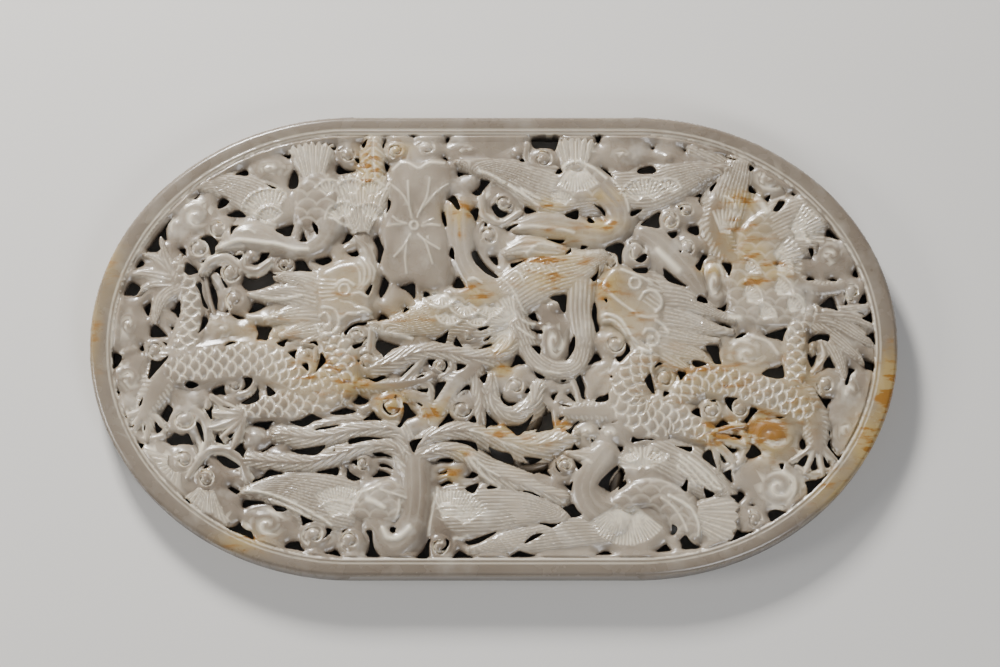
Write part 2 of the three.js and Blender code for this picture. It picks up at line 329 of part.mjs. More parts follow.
// openings between the tail plumes of the bottom bird
const OPEN_PLUMES = [
  [-29.1, -24, -28.6, -25.2, -26.1, -26.5, -27.8, -27, -29.3, -26.4],
  [-29, -18.5, -26.6, -18, -24, -18.1, -21.4, -18.5, -24, -18.7, -27, -19.3, -28.9, -19.8],
  [-17, -18.9, -13.9, -18.3, -15, -19.6, -15.7, -21.4, -16.1, -21.3],
  [-9, -13, -8.5, -14, -7.7, -14.8, -9.3, -15.3, -11, -16.4, -11.1, -16, -9.8, -14.4],
  [-1.7, -12.2, -1.3, -13.4, -0.4, -14.2, 1.2, -15.6, -0.9, -15.7, -1.3, -16.5, -1.7, -16.2, -1.4, -15],
  [-9.2, -18.9, -7.6, -18.6, -5.5, -18.7, -3.5, -19.1, -3.4, -19.6, -3, -21.3, -4.4, -20.1, -6.6, -19.2],
  [-6.1, -28.4, -2.6, -27, -3.7, -29.4, -4.5, -29.5],
  [-1.4, -19.7, 1, -20.8, 3.4, -21.2, 4.2, -23, 2, -22.7, 0, -21.9],
  [16.2, -6.2, 17.4, -5.2, 17.6, -6.5, 18.3, -7.8, 18, -9.7, 18.4, -10.4, 17.5, -10.3, 17.1, -8.5],
  [20, -11, 20.9, -9.8, 22, -9.8, 22.9, -9.2, 23, -10.9, 21.1, -11.2],
  [8, -13.3, 7.6, -14.4, 6, -17, 4.7, -18.2, 3.6, -16.8, 2.3, -15.7, 5, -15.6, 6.4, -14.8],
  [9.9, -13, 11.5, -12.6, 11.6, -14.5, 12.1, -16.5, 10.5, -16.7, 8, -17.3, 9, -15.9, 9.7, -14.4],
  [24.7, -23.5, 24.9, -24.3, 24.2, -24.9, 23, -26.7, 22.9, -29, 22, -28.3, 20.7, -28, 21, -27, 23, -24.9],
];
// openings round the lower right crane, the claws and the clouds
const OPEN_LOW_RIGHT = [
  [42.6, -20.5, 43.3, -20.8, 43.8, -22.7, 44.5, -24.8, 43, -23.6, 41.3, -22.4, 41.8, -21.2],
  [51.3, -19.4, 52, -19.6, 53, -20.6, 53.5, -21.6, 51.2, -22.4, 49.8, -22.1, 51, -20.5],
  [46.6, -29.9, 48.5, -29.6, 48.7, -28.7, 49.7, -29.3, 49.9, -30, 48.5, -31.3],
  [67.1, -18.4, 66.9, -19.6, 67.6, -20.9, 68.6, -22, 69.5, -21.9, 69.6, -22.7, 68.9, -23.3, 67.5, -21.6,
    66.3, -20, 66.6, -18.9],
  [61.7, -26.9, 64, -26.7, 66.6, -25.7, 66.5, -26.3, 64.5, -28.3, 62.4, -30.2, 62.3, -28.3],
];
// openings along the bottom of the rim
const OPEN_BOTTOM = [
  [13.4, -32.4, 15, -31.6, 15.9, -31.4, 16.5, -32.7, 17.7, -33.8, 16.4, -34.2, 15.4, -34.4, 14.6, -33.3],
  [5, -40.8, 6.5, -41.3, 8.6, -41.9, 6, -42.1, 3.2, -42.1, 4.1, -41.4],
  [-5.9, -39, -4.6, -38.8, -2.3, -37.9, 1.3, -36.8, -2, -39, -3.3, -39.6, -4.8, -39.7],
  [-6.8, -40.7, -5.5, -41.5, -4, -42.3, -6, -42.3, -8.2, -42.4, -7.4, -41.3],
  [-12.9, -38.4, -12.4, -38.6, -12.8, -39.8, -12.7, -42.5, -15.6, -42.4, -14, -40.7, -13.3, -39.3],
  [-25.5, -36.9, -24, -36.8, -24, -38.5, -23.6, -40.7, -22.2, -42.2, -25.5, -42.1, -24.7, -40.5, -24.5,
    -38.5],
  [-49.7, -30.5, -47, -30.8, -45.7, -31, -45.3, -31.4, -47.5, -31.5, -49.5, -32.5, -49.9, -31.9],
  [-50.4, -34.9, -49.9, -36.1, -48.9, -36.7, -47.9, -37, -47.4, -38.8, -50, -37.5, -53.4, -36.5, -51.4,
    -36],
  [-40.7, -39, -38.5, -38.8, -38.3, -39.9, -37.3, -41, -39.5, -40.6, -41.6, -40.3],
  [-64.3, -30, -62.5, -30.6, -60.5, -30.5, -60, -32, -58.5, -33.7, -60, -33.1, -62, -31.6],
  [54.3, -33, 56, -32.5, 58.3, -33.2, 56.5, -34.3, 54.9, -35.3],
  [48.3, -36.4, 49.2, -37.2, 51.9, -37.2, 50.2, -38, 46.8, -39.2, 47.8, -37.8],
  [38, -37.5, 39, -39.1, 41.5, -40.3, 37.3, -40.7, 37.3, -39.5, 36.8, -38.7],
];

const STROKES = [
  LEFT_DRAGON, RIGHT_DRAGON, CRANE, PHOENIX, TOP_BIRD, RIGHT_BIRD, BOTTOM_BIRD, LOW_CRANE, STEMS,
].flat();
const OPENINGS = [
  OPEN_LEFT, OPEN_TOP_LEFT, OPEN_TOP_RIGHT, OPEN_MANE, OPEN_MIDDLE, OPEN_FAR_RIGHT, OPEN_CHEST,
  OPEN_COILS, OPEN_LOW_LEFT, OPEN_PLUMES, OPEN_LOW_RIGHT, OPEN_BOTTOM,
].flat();

const wasm = await Module();
wasm.setup();

// a place on the drawing, moved to the plaque
function placed(x, y) {
  const across = (LENGTH / 2 - RIM_AT_SIDES) / DRAWN_HALF_LENGTH;
  const up = (WIDTH / 2 - RIM_AT_TOP) / DRAWN_HALF_WIDTH;
  return new THREE.Vector2(x * across, (y - DRAWN_MIDDLE) * up);
}

function placedPoints(flat) {
  const points = [];
  for (let i = 0; i < flat.length; i += 2) {
    points.push(placed(flat[i], flat[i + 1]));
  }
  return THREE.ShapeUtils.isClockWise(points) ? points.reverse() : points;
}

// the rim's outline, drawn in by so much at its ends and along its top and bottom
function oval(insetEnds, insetLong) {
  const run = STRAIGHT_RUN / 2;
  const reach = LENGTH / 2 - insetEnds - run;
  const half = WIDTH / 2 - insetLong;
  const points = [];
  for (const side of [1, -1]) {
    for (let i = 0; i <= END_STEPS; i++) {
      const turn = side * (Math.PI * i / END_STEPS - Math.PI / 2);
      const across = side * (run + reach * Math.cos(turn));
      points.push(new THREE.Vector2(across, side * half * Math.sin(side * turn)));
    }
  }
  return points;
}

// a closed skin over rings of points that all have the same count
function skin(rings, loops) {
  const count = rings[0].length;
  const position = rings.flat().flatMap((p) => [p.x, p.y, p.z]);
  const index = [];
  const spans = loops ? rings.length : rings.length - 1;
  for (let r = 0; r < spans; r++) {
    const low = r * count;
    const high = ((r + 1) % rings.length) * count;
    for (let i = 0; i < count; i++) {
      const j = (i + 1) % count;
      index.push(low + i, low + j, high + j, low + i, high + j, high + i);
    }
  }
  if (!loops) {
    const caps = THREE.ShapeUtils.triangulateShape(flatten(rings[0]), []);
    const top = (rings.length - 1) * count;
    caps.forEach(([a, b, c]) => index.push(a, c, b, top + a, top + b, top + c));
  }
  return solidOf(position, index);
}

// a ring of points in its own plane, for closing an end
function flatten(ring) {
  const level = ring.every((p) => p.z === ring[0].z);
  if (level) {
    return ring.map((p) => new THREE.Vector2(p.x, p.y));
  }
  const along = ring[ring.length - 1].clone().sub(ring[0]).setZ(0).normalize();
  return ring.map((p) => new THREE.Vector2(-(p.x * along.x + p.y * along.y), p.z));
}

function solidOf(position, index) {
  const geometry = new THREE.BufferGeometry();
  geometry.setAttribute("position", new THREE.Float32BufferAttribute(position, 3));
  geometry.setIndex(index);
  const merged = mergeVertices(geometry, 1e-4);
  return new wasm.Manifold(new wasm.Mesh({
    numProp: 3,
    vertProperties: new Float32Array(merged.attributes.position.array),
    triVerts: new Uint32Array(merged.index.array),
  }));
}

function ringAt(points, height) {
  return points.map((p) => new THREE.Vector3(p.x, p.y, height));
}

function prism(points, low, high) {
  return skin([ringAt(points, low), ringAt(points, high)], false);
}

function joined(solids) {
  let rest = solids;
  while (rest.length > 1) {
    const pairs = [];
    for (let i = 0; i < rest.length; i += 2) {
      pairs.push(i + 1 < rest.length ? rest[i].add(rest[i + 1]) : rest[i]);
    }
    rest = pairs;
  }
  return rest[0];
}

// the plain rim: a foot bevel, an upright wall, a rounded outer edge and a flat top
function rim() {
  const profile = [
    [FOOT_BEVEL, 0],
    [0, FOOT_BEVEL],
    [0, RIM_HEIGHT - OUTER_ROUND],
    [OUTER_ROUND * ARC_SHARE, RIM_HEIGHT - OUTER_ROUND * ARC_SHARE],
    [OUTER_ROUND, RIM_HEIGHT],
  ];
  const outer = profile.map(([inset, height]) => ringAt(oval(inset, inset), height));
  const inner = [
    [-INNER_BEVEL, RIM_HEIGHT],
    [0, RIM_HEIGHT - INNER_BEVEL],
    [0, 0],
  ].map(([back, height]) => ringAt(oval(RIM_AT_SIDES + back, RIM_AT_TOP + back), height));
  return skin([...outer, ...inner], true);
}

// the sunk ground that joins the figures, gripped by the rim all round
function ground() {
  const outline = oval(RIM_AT_SIDES - PLATE_GRIP, RIM_AT_TOP - PLATE_GRIP);
  return prism(outline, 0, GROUND_HEIGHT);
}

// the room inside the rim, which no figure leaves
function fieldRoom() {
  return prism(oval(RIM_AT_SIDES - PLATE_GRIP, RIM_AT_TOP - PLATE_GRIP), 0, CREST_HEIGHT + 1);
}

// places across one stroke, as shares of its half width and of its rise
const SECTION = [[-1, 0], [-CROWN_SHARE, 1], [CROWN_SHARE, 1], [1, 0]];

// one stroke of the carving, such as a neck, a limb, a stem or a feather
function stroke([crest, widths, path]) {
  const guides = [];
  for (let i = 0; i < path.length; i += 2) {
    const p = placed(path[i], path[i + 1]);
    guides.push(new THREE.Vector3(p.x, p.y, 0));
  }
  const curve = new THREE.CatmullRomCurve3(guides, false, "centripetal");
  const steps = Math.max(1, Math.round(curve.getLength() / STROKE_STEP));
  const floor = GROUND_HEIGHT - ROOT_DEPTH;
  const rise = crest * CREST_HEIGHT - floor;
  const rings = [];
  for (let i = 0; i <= steps; i++) {
    const share = i / steps;
    const at = curve.getPointAt(share);
    const ahead = curve.getTangentAt(share);
    const half = blended(widths, share) / 2;
    rings.push(SECTION.map(([side, height]) => new THREE.Vector3(
      at.x + ahead.y * side * half,
      at.y - ahead.x * side * half,
      floor + height * rise,
    )));
  }
  return skin(rings, false);
}

// a value read off a short row at a share of its length
function blended(row, share) {
  const place = share * (row.length - 1);
  const left = Math.min(Math.floor(place), row.length - 2);
  return row.length === 1 ? row[0] : THREE.MathUtils.lerp(row[left], row[left + 1], place - left);
}

// a cloud, curl or ball
function boss([crest, x, y, rx, ry, turn]) {
  const centre = placed(x, y);
  const angle = THREE.MathUtils.degToRad(turn);
  const ring = (scale, height) => {
    const points = [];
    for (let i = 0; i < BOSS_SIDES; i++) {
      const round = (i / BOSS_SIDES) * Math.PI * 2;
      const spot = new THREE.Vector2(Math.cos(round) * rx * scale, Math.sin(round) * ry * scale);
      spot.rotateAround(new THREE.Vector2(), angle).add(centre);
      points.push(spot);
    }
    return ringAt(points, height);
  };
  return skin([ring(1, GROUND_HEIGHT - ROOT_DEPTH), ring(BOSS_TOP, crest * CREST_HEIGHT)], false);
}

// the claws of one foot, which fan out from its root
function claws([crest, count, x, y, toward, spread, inner, outer]) {
  const rods = [];
  for (let i = 0; i < count; i++) {
    const angle = THREE.MathUtils.degToRad(toward + spread * (i / (count - 1) - 0.5));
    const path = [inner, outer].flatMap((r) => [x + r * Math.cos(angle), y + r * Math.sin(angle)]);
    rods.push(stroke([crest, CLAW_WIDTHS, path]));
  }
  return joined(rods);
}

// a head, a body or a leaf, with a lower edge and a higher middle
function patch([crest, outline]) {
  const points = placedPoints(outline);
  const middle = points.reduce((sum, p) => sum.add(p), new THREE.Vector2()).divideScalar(points.length);
  const inward = points.map((p) => p.clone().lerp(middle, PATCH_DRAFT));
  const floor = GROUND_HEIGHT - ROOT_DEPTH;
  return skin([ringAt(points, floor), ringAt(inward, crest * CREST_HEIGHT)], false);
}

// one opening, run on to the rim where it is drawn next to it
function opening(flat) {
  const reached = flat.map((v, i) => (i % 2 && v > RUNS_TO_RIM ? v + RIM_REACH : v));
  return prism(placedPoints(reached), -1, CREST_HEIGHT + 1);
}

function carved() {
  const figures = joined([
    ...STROKES.map(stroke),
    ...CLAWS.map(claws),
    ...PATCHES.map(patch),
    ...BOSSES.map(boss),
  ]);
  const field = ground().add(figures.intersect(fieldRoom()));
  return field.subtract(joined(OPENINGS.map(opening))).add(rim());
}

function meshOf(solid, name, material) {
  const mesh = solid.getMesh();
  const geometry = new THREE.BufferGeometry();
  geometry.setAttribute("position", new THREE.BufferAttribute(mesh.vertProperties, 3));
  geometry.setIndex(new THREE.BufferAttribute(mesh.triVerts, 1));
  const node = new THREE.Mesh(geometry, material);
  node.name = name;
  return node;
}

const jade = new THREE.MeshStandardMaterial({ color: 0xc4bcae, roughness: 0.35, metalness: 0 });
const plaque = new THREE.Group();
plaque.add(meshOf(carved().simplify(FINEST_EDGE), "jade_plaque", jade));
export default plaque;
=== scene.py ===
"""The looks of a pale jade openwork plaque, laid on a plain floor.

One closed mesh stands for the plaque. Its carved face is a height over a fine
grid: every figure adds its own height, the highest one shows, and the openings
are left out of the grid. The same grid gives the back, and walls join the two.
Heights, rows and sizes are in millimetres, and the mesh is in metres.
"""
import math

import bpy
import numpy as np
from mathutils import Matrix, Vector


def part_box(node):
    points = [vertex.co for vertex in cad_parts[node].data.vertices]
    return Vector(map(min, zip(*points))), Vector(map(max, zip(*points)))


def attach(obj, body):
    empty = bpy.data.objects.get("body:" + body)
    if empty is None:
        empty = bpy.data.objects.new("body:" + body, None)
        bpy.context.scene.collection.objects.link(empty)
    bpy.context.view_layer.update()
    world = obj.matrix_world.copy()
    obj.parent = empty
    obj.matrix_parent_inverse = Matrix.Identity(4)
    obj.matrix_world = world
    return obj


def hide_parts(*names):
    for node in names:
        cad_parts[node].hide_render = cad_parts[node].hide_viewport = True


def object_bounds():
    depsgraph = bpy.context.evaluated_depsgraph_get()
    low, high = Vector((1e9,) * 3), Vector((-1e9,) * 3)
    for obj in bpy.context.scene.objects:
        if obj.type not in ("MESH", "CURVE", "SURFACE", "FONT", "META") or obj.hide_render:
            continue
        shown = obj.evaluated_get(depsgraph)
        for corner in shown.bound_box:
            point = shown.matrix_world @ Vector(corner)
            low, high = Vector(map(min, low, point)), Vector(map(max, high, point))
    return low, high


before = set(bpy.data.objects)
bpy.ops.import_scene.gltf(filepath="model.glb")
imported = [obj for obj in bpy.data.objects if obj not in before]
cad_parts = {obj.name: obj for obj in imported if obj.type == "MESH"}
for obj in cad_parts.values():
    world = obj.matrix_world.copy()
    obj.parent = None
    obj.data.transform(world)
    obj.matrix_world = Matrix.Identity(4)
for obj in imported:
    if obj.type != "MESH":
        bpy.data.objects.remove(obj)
cad_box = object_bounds()

MM = 0.001
NODE = "jade_plaque"
LOW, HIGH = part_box(NODE)
HALF_LENGTH = HIGH[0] / MM
HALF_WIDTH = HIGH[1] / MM
CREST = HIGH[2] / MM

# the rim, as in the solid
RUN = 28.4
RIM_HEIGHT = 7.0
RIM_AT_SIDES = 4.5
RIM_AT_TOP = 3.6
OUTER_ROUND = 1.0
INNER_BEVEL = 0.45

# the drawing that the rows are measured on
DRAWN_HALF_LENGTH = 76.3
DRAWN_HALF_WIDTH = 43.1
DRAWN_MIDDLE = 0.6
RUNS_TO_RIM = 41.8
RIM_REACH = 1.2

# the grid, the figures' shoulders and skirts, and the plate that shows between them
STEP = 0.2
FIGURE_FALL = 0.42
SKIRT_FALL = 2.0
SKIRT_REACH = 1.8
PLATE = 5.6
PLATE_SWELL = 1.0
PLATE_REACH = 2.2
PLATE_AT_RIM = 0.8
PLATE_AT_RIM_REACH = 1.5
BELOW_RIM = 0.05
FIELD_RISE = 0.25
FIELD_RISE_REACH = 3
LOW_CREST = 0.76
MEAN_CREST = 0.93
CREST_SHARE = 0.55

# the marks on the figures, and the lines drawn on them
CUT_DEPTH = 0.25
CUT_WIDTH = 0.24
RIDGE_WIDTH = 0.27
SCALE_SIZE = 2.9
FEATHER_SIZE = 3.8
SCALE_LINE = 0.86
SCALE_LINE_WIDTH = 0.11
FEATHER_LINE = 0.88
FEATHER_LINE_WIDTH = 0.1
HAIR_PITCH = 0.72
HAIR_SLANT = 0.3
FRINGE_PITCH = 0.95
FRINGE_SLANT = 1.4
VEIN_PITCH = 1.3
VEIN_SLANT = 0.6

# clouds, lobes, curls and balls, in shares of their radius except for their falls
BOSS_FALL = 0.9
CURL_FALL = 0.5
BALL_FALL = 1.1
BOSS_LINE_WIDTH = 0.1
CLOUD_WAVE = 0.04
LOBE_LINE = 0.6
CURL_EYE = 0.34
CURL_WINDING = 0.4
CURL_GROOVE = 0.7
CURL_DOME = 0.2
CLAW_WIDTHS = [1.6, 2.1, 1.1]

# the wear of the openings' edges, the undercut below them and the seam at the rim
EDGE_ROUND = 0.45
EDGE_DROP = 0.4
UNDERCUT = 1.6
EDGE_THICKNESS = 1.7
SEAM_DEPTH = 0.32
SEAM_WIDTH = 0.24
RIM_LINE = 0.95
RIM_LINE_DEPTH = 0.12
RIM_LINE_WIDTH = 0.17
BEVEL_SHARE = 0.6

# the mesh
MOST_TRIANGLES = 194000
SHARP_ANGLE = 40

# Each stroke is a kind, a crest as a share of the highest, how many ribs, widths, and the points it runs by.

# left dragon: tail fronds, tail, body, chest and neck, legs, mane
LEFT_DRAGON = [
    ["quill", 0.86, 2, [3.4, 2.6, 0.5], [-63.8, 14, -66, 18.4, -67, 22.8]],
    ["quill", 0.84, 2, [3.4, 2.8, 0.6], [-64, 14.5, -67.5, 17.8, -70.4, 19]],
    ["quill", 0.86, 2, [3.2, 2.8, 0.8], [-63.5, 13.8, -69, 15, -73.6, 14.9]],
    ["quill", 0.84, 2, [3, 2.4, 0.7], [-63.5, 13, -68.5, 12.8, -71.8, 10.8]],
    ["quill", 0.86, 3, [3.6, 3.2, 1.2], [-63, 12.5, -66.4, 10, -67.9, 5]],
    ["quill", 0.9, 2, [2.4, 2, 0.6], [-63.6, 14.5, -63, 17, -62.8, 18.8]],
    ["scales", 0.92, 1, [3.4, 4.2, 4.4, 5.4, 6.6], [-63, 16.6, -61, 12, -60.6, 6, -61.6, 0.6, -63.2, -4]],
    ["limb", 0.93, 1, [6.5, 6.4, 5.4, 3.4], [-64, -3, -66.4, -7, -68.6, -10.8, -69.6, -13.6]],
    ["scales", 1, 1, [6, 7.4, 7.6, 7.6, 7.4, 7, 6.5],
      [-63.5, -4.5, -57.5, -3.4, -51.5, -2.7, -46, -2.7, -41, -4.6, -36.5, -7.6, -32, -9]],
    ["scales", 0.98, 1, [3.6, 5.4, 6.6, 8, 7.6, 6.6, 5.5],
      [-48.5, -12.8, -43.5, -11.8, -38, -11, -33, -8.6, -30.8, -5, -31, -0.5, -32.5, 3]],
    ["quill", 0.93, 4, [7, 5, 1.2], [-31, 9.5, -38, 13, -44.2, 14.6]],
    ["quill", 0.95, 4, [7, 5, 1], [-31, 8, -40, 10.6, -49, 10.8]],
    ["quill", 0.93, 4, [7, 5.5, 1.2], [-31, 6.5, -38, 7, -45.5, 5.6]],
    ["quill", 0.91, 4, [7, 5, 1.2], [-31, 5, -37.5, 3.8, -42.5, 2.4]],
    ["quill", 0.91, 3, [6, 4, 1.2], [-31, 4, -35, 1.8, -38, 0.8]],
    ["vine", 0.8, 1, [1.8, 2, 2, 1.6], [-75.5, -16, -73, -17.7, -69.8, -18.7, -65.6, -18]],
    ["vine", 0.8, 1, [1.4, 1.8, 1.8, 1.4], [-57, -10.8, -57, -15.5, -55.4, -19.8, -51.4, -20.4]],
]
# right dragon: snout line, body, tail, fronds, legs, mane
RIGHT_DRAGON = [
    ["scales", 1, 1, [5, 7, 8, 8, 9, 6, 3.4],
      [31, -2, 27.5, -6, 26.5, -11, 30, -14.4, 35.5, -14.2, 39.5, -16.2, 42.6, -17.8]],
    ["scales", 1, 1, [4.5, 6, 6.2, 7, 7, 6],
      [37.5, -9.5, 41.5, -6.6, 46.5, -7, 52, -8.4, 57.5, -10.4, 62, -12.6]],
    ["scales", 0.92, 1, [6, 4.6, 4.4, 4.4, 4.2], [58.5, -11, 60.2, -6, 60.3, -1, 60.6, 4, 63.8, 6.4]],
    ["limb", 0.94, 1, [6, 5.6, 4.8, 3.4], [61.5, -10.5, 63.6, -14, 64.4, -17.4, 64.5, -20.2]],
    ["quill", 0.9, 3, [3.4, 3.4, 3, 1.4], [62, 6.2, 68, 5.4, 73, 2.4, 76.6, 0]],
    ["quill", 0.89, 3, [3, 3.2, 1.2], [64.5, 4.6, 69.6, 0.6, 73.8, -3]],
    ["quill", 0.88, 3, [3, 3, 1.2], [66, 3, 68.6, -1.4, 70.2, -6.6]],
    ["quill", 0.9, 2, [2.8, 2.6, 1.6], [66.5, 6.6, 71.5, 6.2, 76.4, 4.2]],
    ["quill", 0.86, 2, [2, 2, 1.2], [69.2, 7.4, 72.4, 7.8, 76, 8.4]],
    ["quill", 0.94, 4, [7, 5.4, 3, 1], [32, 10.5, 38, 9.8, 43, 7.6, 48, 5.4]],
    ["quill", 0.94, 4, [6, 5, 3, 1], [32.5, 6.5, 38, 5.4, 43, 3.8, 47.6, 3.2]],
    ["quill", 0.93, 4, [6, 5, 3.4, 1], [33, 3, 37.5, 2, 41.5, 1.2, 44.8, 1.4]],
    ["quill", 0.93, 4, [5, 5, 3.4, 1], [33.5, 0.5, 37.5, -0.8, 40.6, -1.8, 43.4, -3.4]],
    ["quill", 0.92, 3, [4, 4, 1.4], [33.5, -1.5, 36, -3, 38.9, -4.6]],
    ["vine", 0.98, 1, [1, 1.4, 1], [22.4, 6, 27, 2.6, 31.4, -1.2]],
    ["vine", 0.8, 1, [1.6, 2, 2], [60.4, -24.2, 63.5, -25.7, 68.6, -24.4]],
    ["vine", 0.84, 1, [1.8, 2, 2, 1.6], [48.6, -15.6, 50.4, -19.2, 49.2, -23, 46.8, -25]],
]
# crane at the top left: neck and head, beak, wings, legs
CRANE = [
    ["neck", 0.99, 1, [5, 4, 3.4, 3.6, 4.4, 5, 3.6],
      [-33, 25.5, -35, 21.5, -38.5, 19.9, -42.5, 20.8, -46, 22.2, -49.5, 22.9, -52.4, 22.4]],
    ["quill", 0.94, 2, [3, 2.4, 0.8], [-50.5, 21.6, -53.5, 21, -56.4, 19.6]],
    ["quill", 0.9, 6, [7, 6.8, 5, 2], [-45.5, 29.8, -50.5, 32, -55, 33.3, -59.5, 33.2]],
    ["limb", 0.8, 1, [2.2, 1.8], [-38.9, 26.2, -40, 22]],
    ["limb", 0.8, 1, [2.2, 1.8], [-37.5, 26, -37.2, 21.6]],
    ["leaf", 0.94, 1, [3.2, 4.8, 3], [-24.4, 42.6, -24.4, 38.8, -24, 35]],
    ["vine", 0.8, 1, [2.4, 2.2, 2], [-27.6, 22.4, -25.2, 20, -24, 15.6]],
]
# phoenix in the middle: neck, two wings and the tail that sweeps under it
PHOENIX = [
    ["neck", 0.97, 1, [4.6, 5, 4.4, 3.8, 5, 7], [-7, 28.4, -7, 24.5, -6.6, 20, -5.6, 16.6, -3.5, 13.5, -1,
      10]],
    ["quill", 0.95, 7, [9, 8, 6, 4, 1], [-3, 6.5, -9, 6.6, -15, 5.2, -20, 4.2, -25, 4.7]],
    ["quill", 0.95, 6, [8, 8.6, 8.4, 7, 3.4], [2, 9.5, 7, 13, 12, 15, 17, 16.2, 21.5, 18.2]],
    ["quill", 0.93, 2, [2, 4.4, 4, 1.6], [2.6, 19.4, 6.5, 20.6, 10.5, 20.2, 14.6, 19.4]],
    ["quill", 0.94, 3, [4, 3.6, 3.4, 3.4, 3.6, 3.8], [3.5, 7.5, 5.6, 3, 8.2, -2.2, 12.5, -4.7, 16.6, -3.6,
      18, 1]],
    ["quill", 0.93, 3, [3.8, 4.8, 5], [18, 0.5, 17.4, 7, 17.6, 12.8]],
    ["plume", 0.9, 1, [4, 4, 3.4, 3.6, 4, 3.6], [-23.5, -4, -19.5, -2.8, -15, -1, -10, -0.9, -5, -2, 0,
      -2.2]],
    ["plume", 0.9, 2, [3, 3.4, 3.6], [0, -2.2, 3.4, 0.4, 5.4, 4]],
]
# crane at the top right: beak and neck, two wings, feathers at the rim
TOP_BIRD = [
    ["neck", 0.98, 2, [2, 4.4, 4.8, 4.6, 4.6, 4.6, 4.6, 5],
      [4.5, 24.6, 9, 25, 14, 24.4, 19, 23.2, 23, 23.2, 25.6, 25.6, 25, 29, 22, 32.4]],
    ["quill", 0.95, 7, [1, 4, 6, 8, 8, 7], [-7.5, 38, -2, 36.8, 3.5, 35.2, 8.5, 33, 13.5, 31.6, 19, 32]],
    ["quill", 0.95, 6, [7, 8, 7, 4.6, 1.4], [25.5, 32, 31, 32.2, 37, 34.2, 42, 35.8, 47.5, 36.6]],
    ["quill", 0.86, 3, [2, 3.4, 3], [48, 36.8, 44.5, 38.8, 40.5, 40.8]],
    ["vine", 0.62, 1, [1.6, 1.6], [17.9, 29.4, 17.9, 25]],
    ["vine", 0.62, 1, [1.8, 1.8], [18.4, 29.8, 22.4, 26]],
    ["vine", 0.58, 1, [1.6, 1.6], [43, 33.6, 42.8, 30]],
]
# large bird at the right: back, raised wing, far wing, tail
RIGHT_BIRD = [
    ["limb", 0.94, 1, [4.5, 5.4, 5, 3], [45, 29, 44.6, 24.5, 46.4, 20.4, 48.6, 17]],
    ["quill", 0.95, 5, [6.5, 7, 6.5, 5], [46.8, 27, 47.6, 31, 48.6, 34.5, 49.6, 37.6]],
    ["quill", 0.95, 6, [7, 8.4, 8, 6], [54, 22.5, 58.5, 24.8, 62.5, 26.6, 66, 27.8]],
    ["quill", 0.93, 5, [7, 7.4, 6, 3], [53, 17, 57.5, 19.2, 61, 20.4, 63.6, 20.6]],
    ["limb", 0.88, 1, [3.4, 3, 2.6], [59.6, 13.8, 65, 12, 70, 12.4]],
    ["pod", 0.98, 1, [3.6, 5.4, 5.6, 5.2, 3], [30.4, 23.2, 32.6, 22, 35.8, 18.4, 39, 15, 41.4, 11.4]],
]
# bird at the bottom: neck, two wings and four tail plumes
BOTTOM_BIRD = [
    ["neck", 0.97, 1, [5, 5, 5, 5.4, 5], [-15.6, -24, -15.4, -30, -16.5, -36, -19.8, -39.4, -23, -36]],
    ["quill", 0.94, 8, [10, 9.4, 7, 4.6, 1.6], [-31.5, -31.5, -36, -30.3, -41, -28.9, -45, -28.6, -49.8,
      -29.3]],
    ["quill", 0.93, 7, [9, 9, 7, 3], [-6, -33, 0, -32.8, 6, -32.6, 13.5, -34.2]],
    ["plume", 0.94, 1, [3.4, 3.6, 3.4, 3.6, 4.4, 2.5], [-16.4, -21, -19, -17, -24, -16.5, -30, -17.3, -36,
      -18.2, -43, -17.6]],
    ["plume", 0.93, 1, [3, 3, 3.2, 3.4, 3.4, 3.2, 3], [-17, -25, -19.5, -20.6, -25, -19.9, -30, -21.3, -36,
      -23.2, -43, -23.2, -49, -22.8]],
    ["plume", 0.84, 1, [1.6, 2.6, 2.4, 1], [-24, -15, -30, -14.7, -35, -15.8, -38.5, -17]],
    ["plume", 0.94, 1, [3.2, 3.2, 3.4, 3.2, 3.4, 4, 3.4], [-15, -20, -11.6, -17.6, -6, -16.9, 0, -18.2, 6,
      -19.8, 11, -19.4, 15.4, -18]],
    ["plume", 0.94, 1, [3, 3, 3.4, 3.6, 3.4, 2.6], [-15, -22, -10, -20.8, -5.6, -21.6, -1.6, -24.8, 4,
      -27.2, 13.6, -30.4]],
]
# crane at the bottom right: head and neck, far wing, raised wing
LOW_CRANE = [
    ["neck", 0.98, 1, [4.6, 4.8, 4.8, 5.5, 6], [21.8, -21.8, 19.2, -25.4, 18.2, -29, 20, -32.6, 24, -34.5]],
    ["quill", 0.93, 2, [3, 2.4, 1], [21.5, -21.6, 18, -21.8, 14.6, -21.4]],
    ["quill", 0.97, 5, [6.6, 7, 5, 1.5], [34, -21.8, 39, -24.4, 43.5, -27.6, 47.5, -30]],
    ["quill", 0.92, 5, [1.5, 4, 5.4, 6, 5], [-4.8, -40.9, 2, -39.4, 8, -38.4, 15, -37.4, 22, -37]],
]
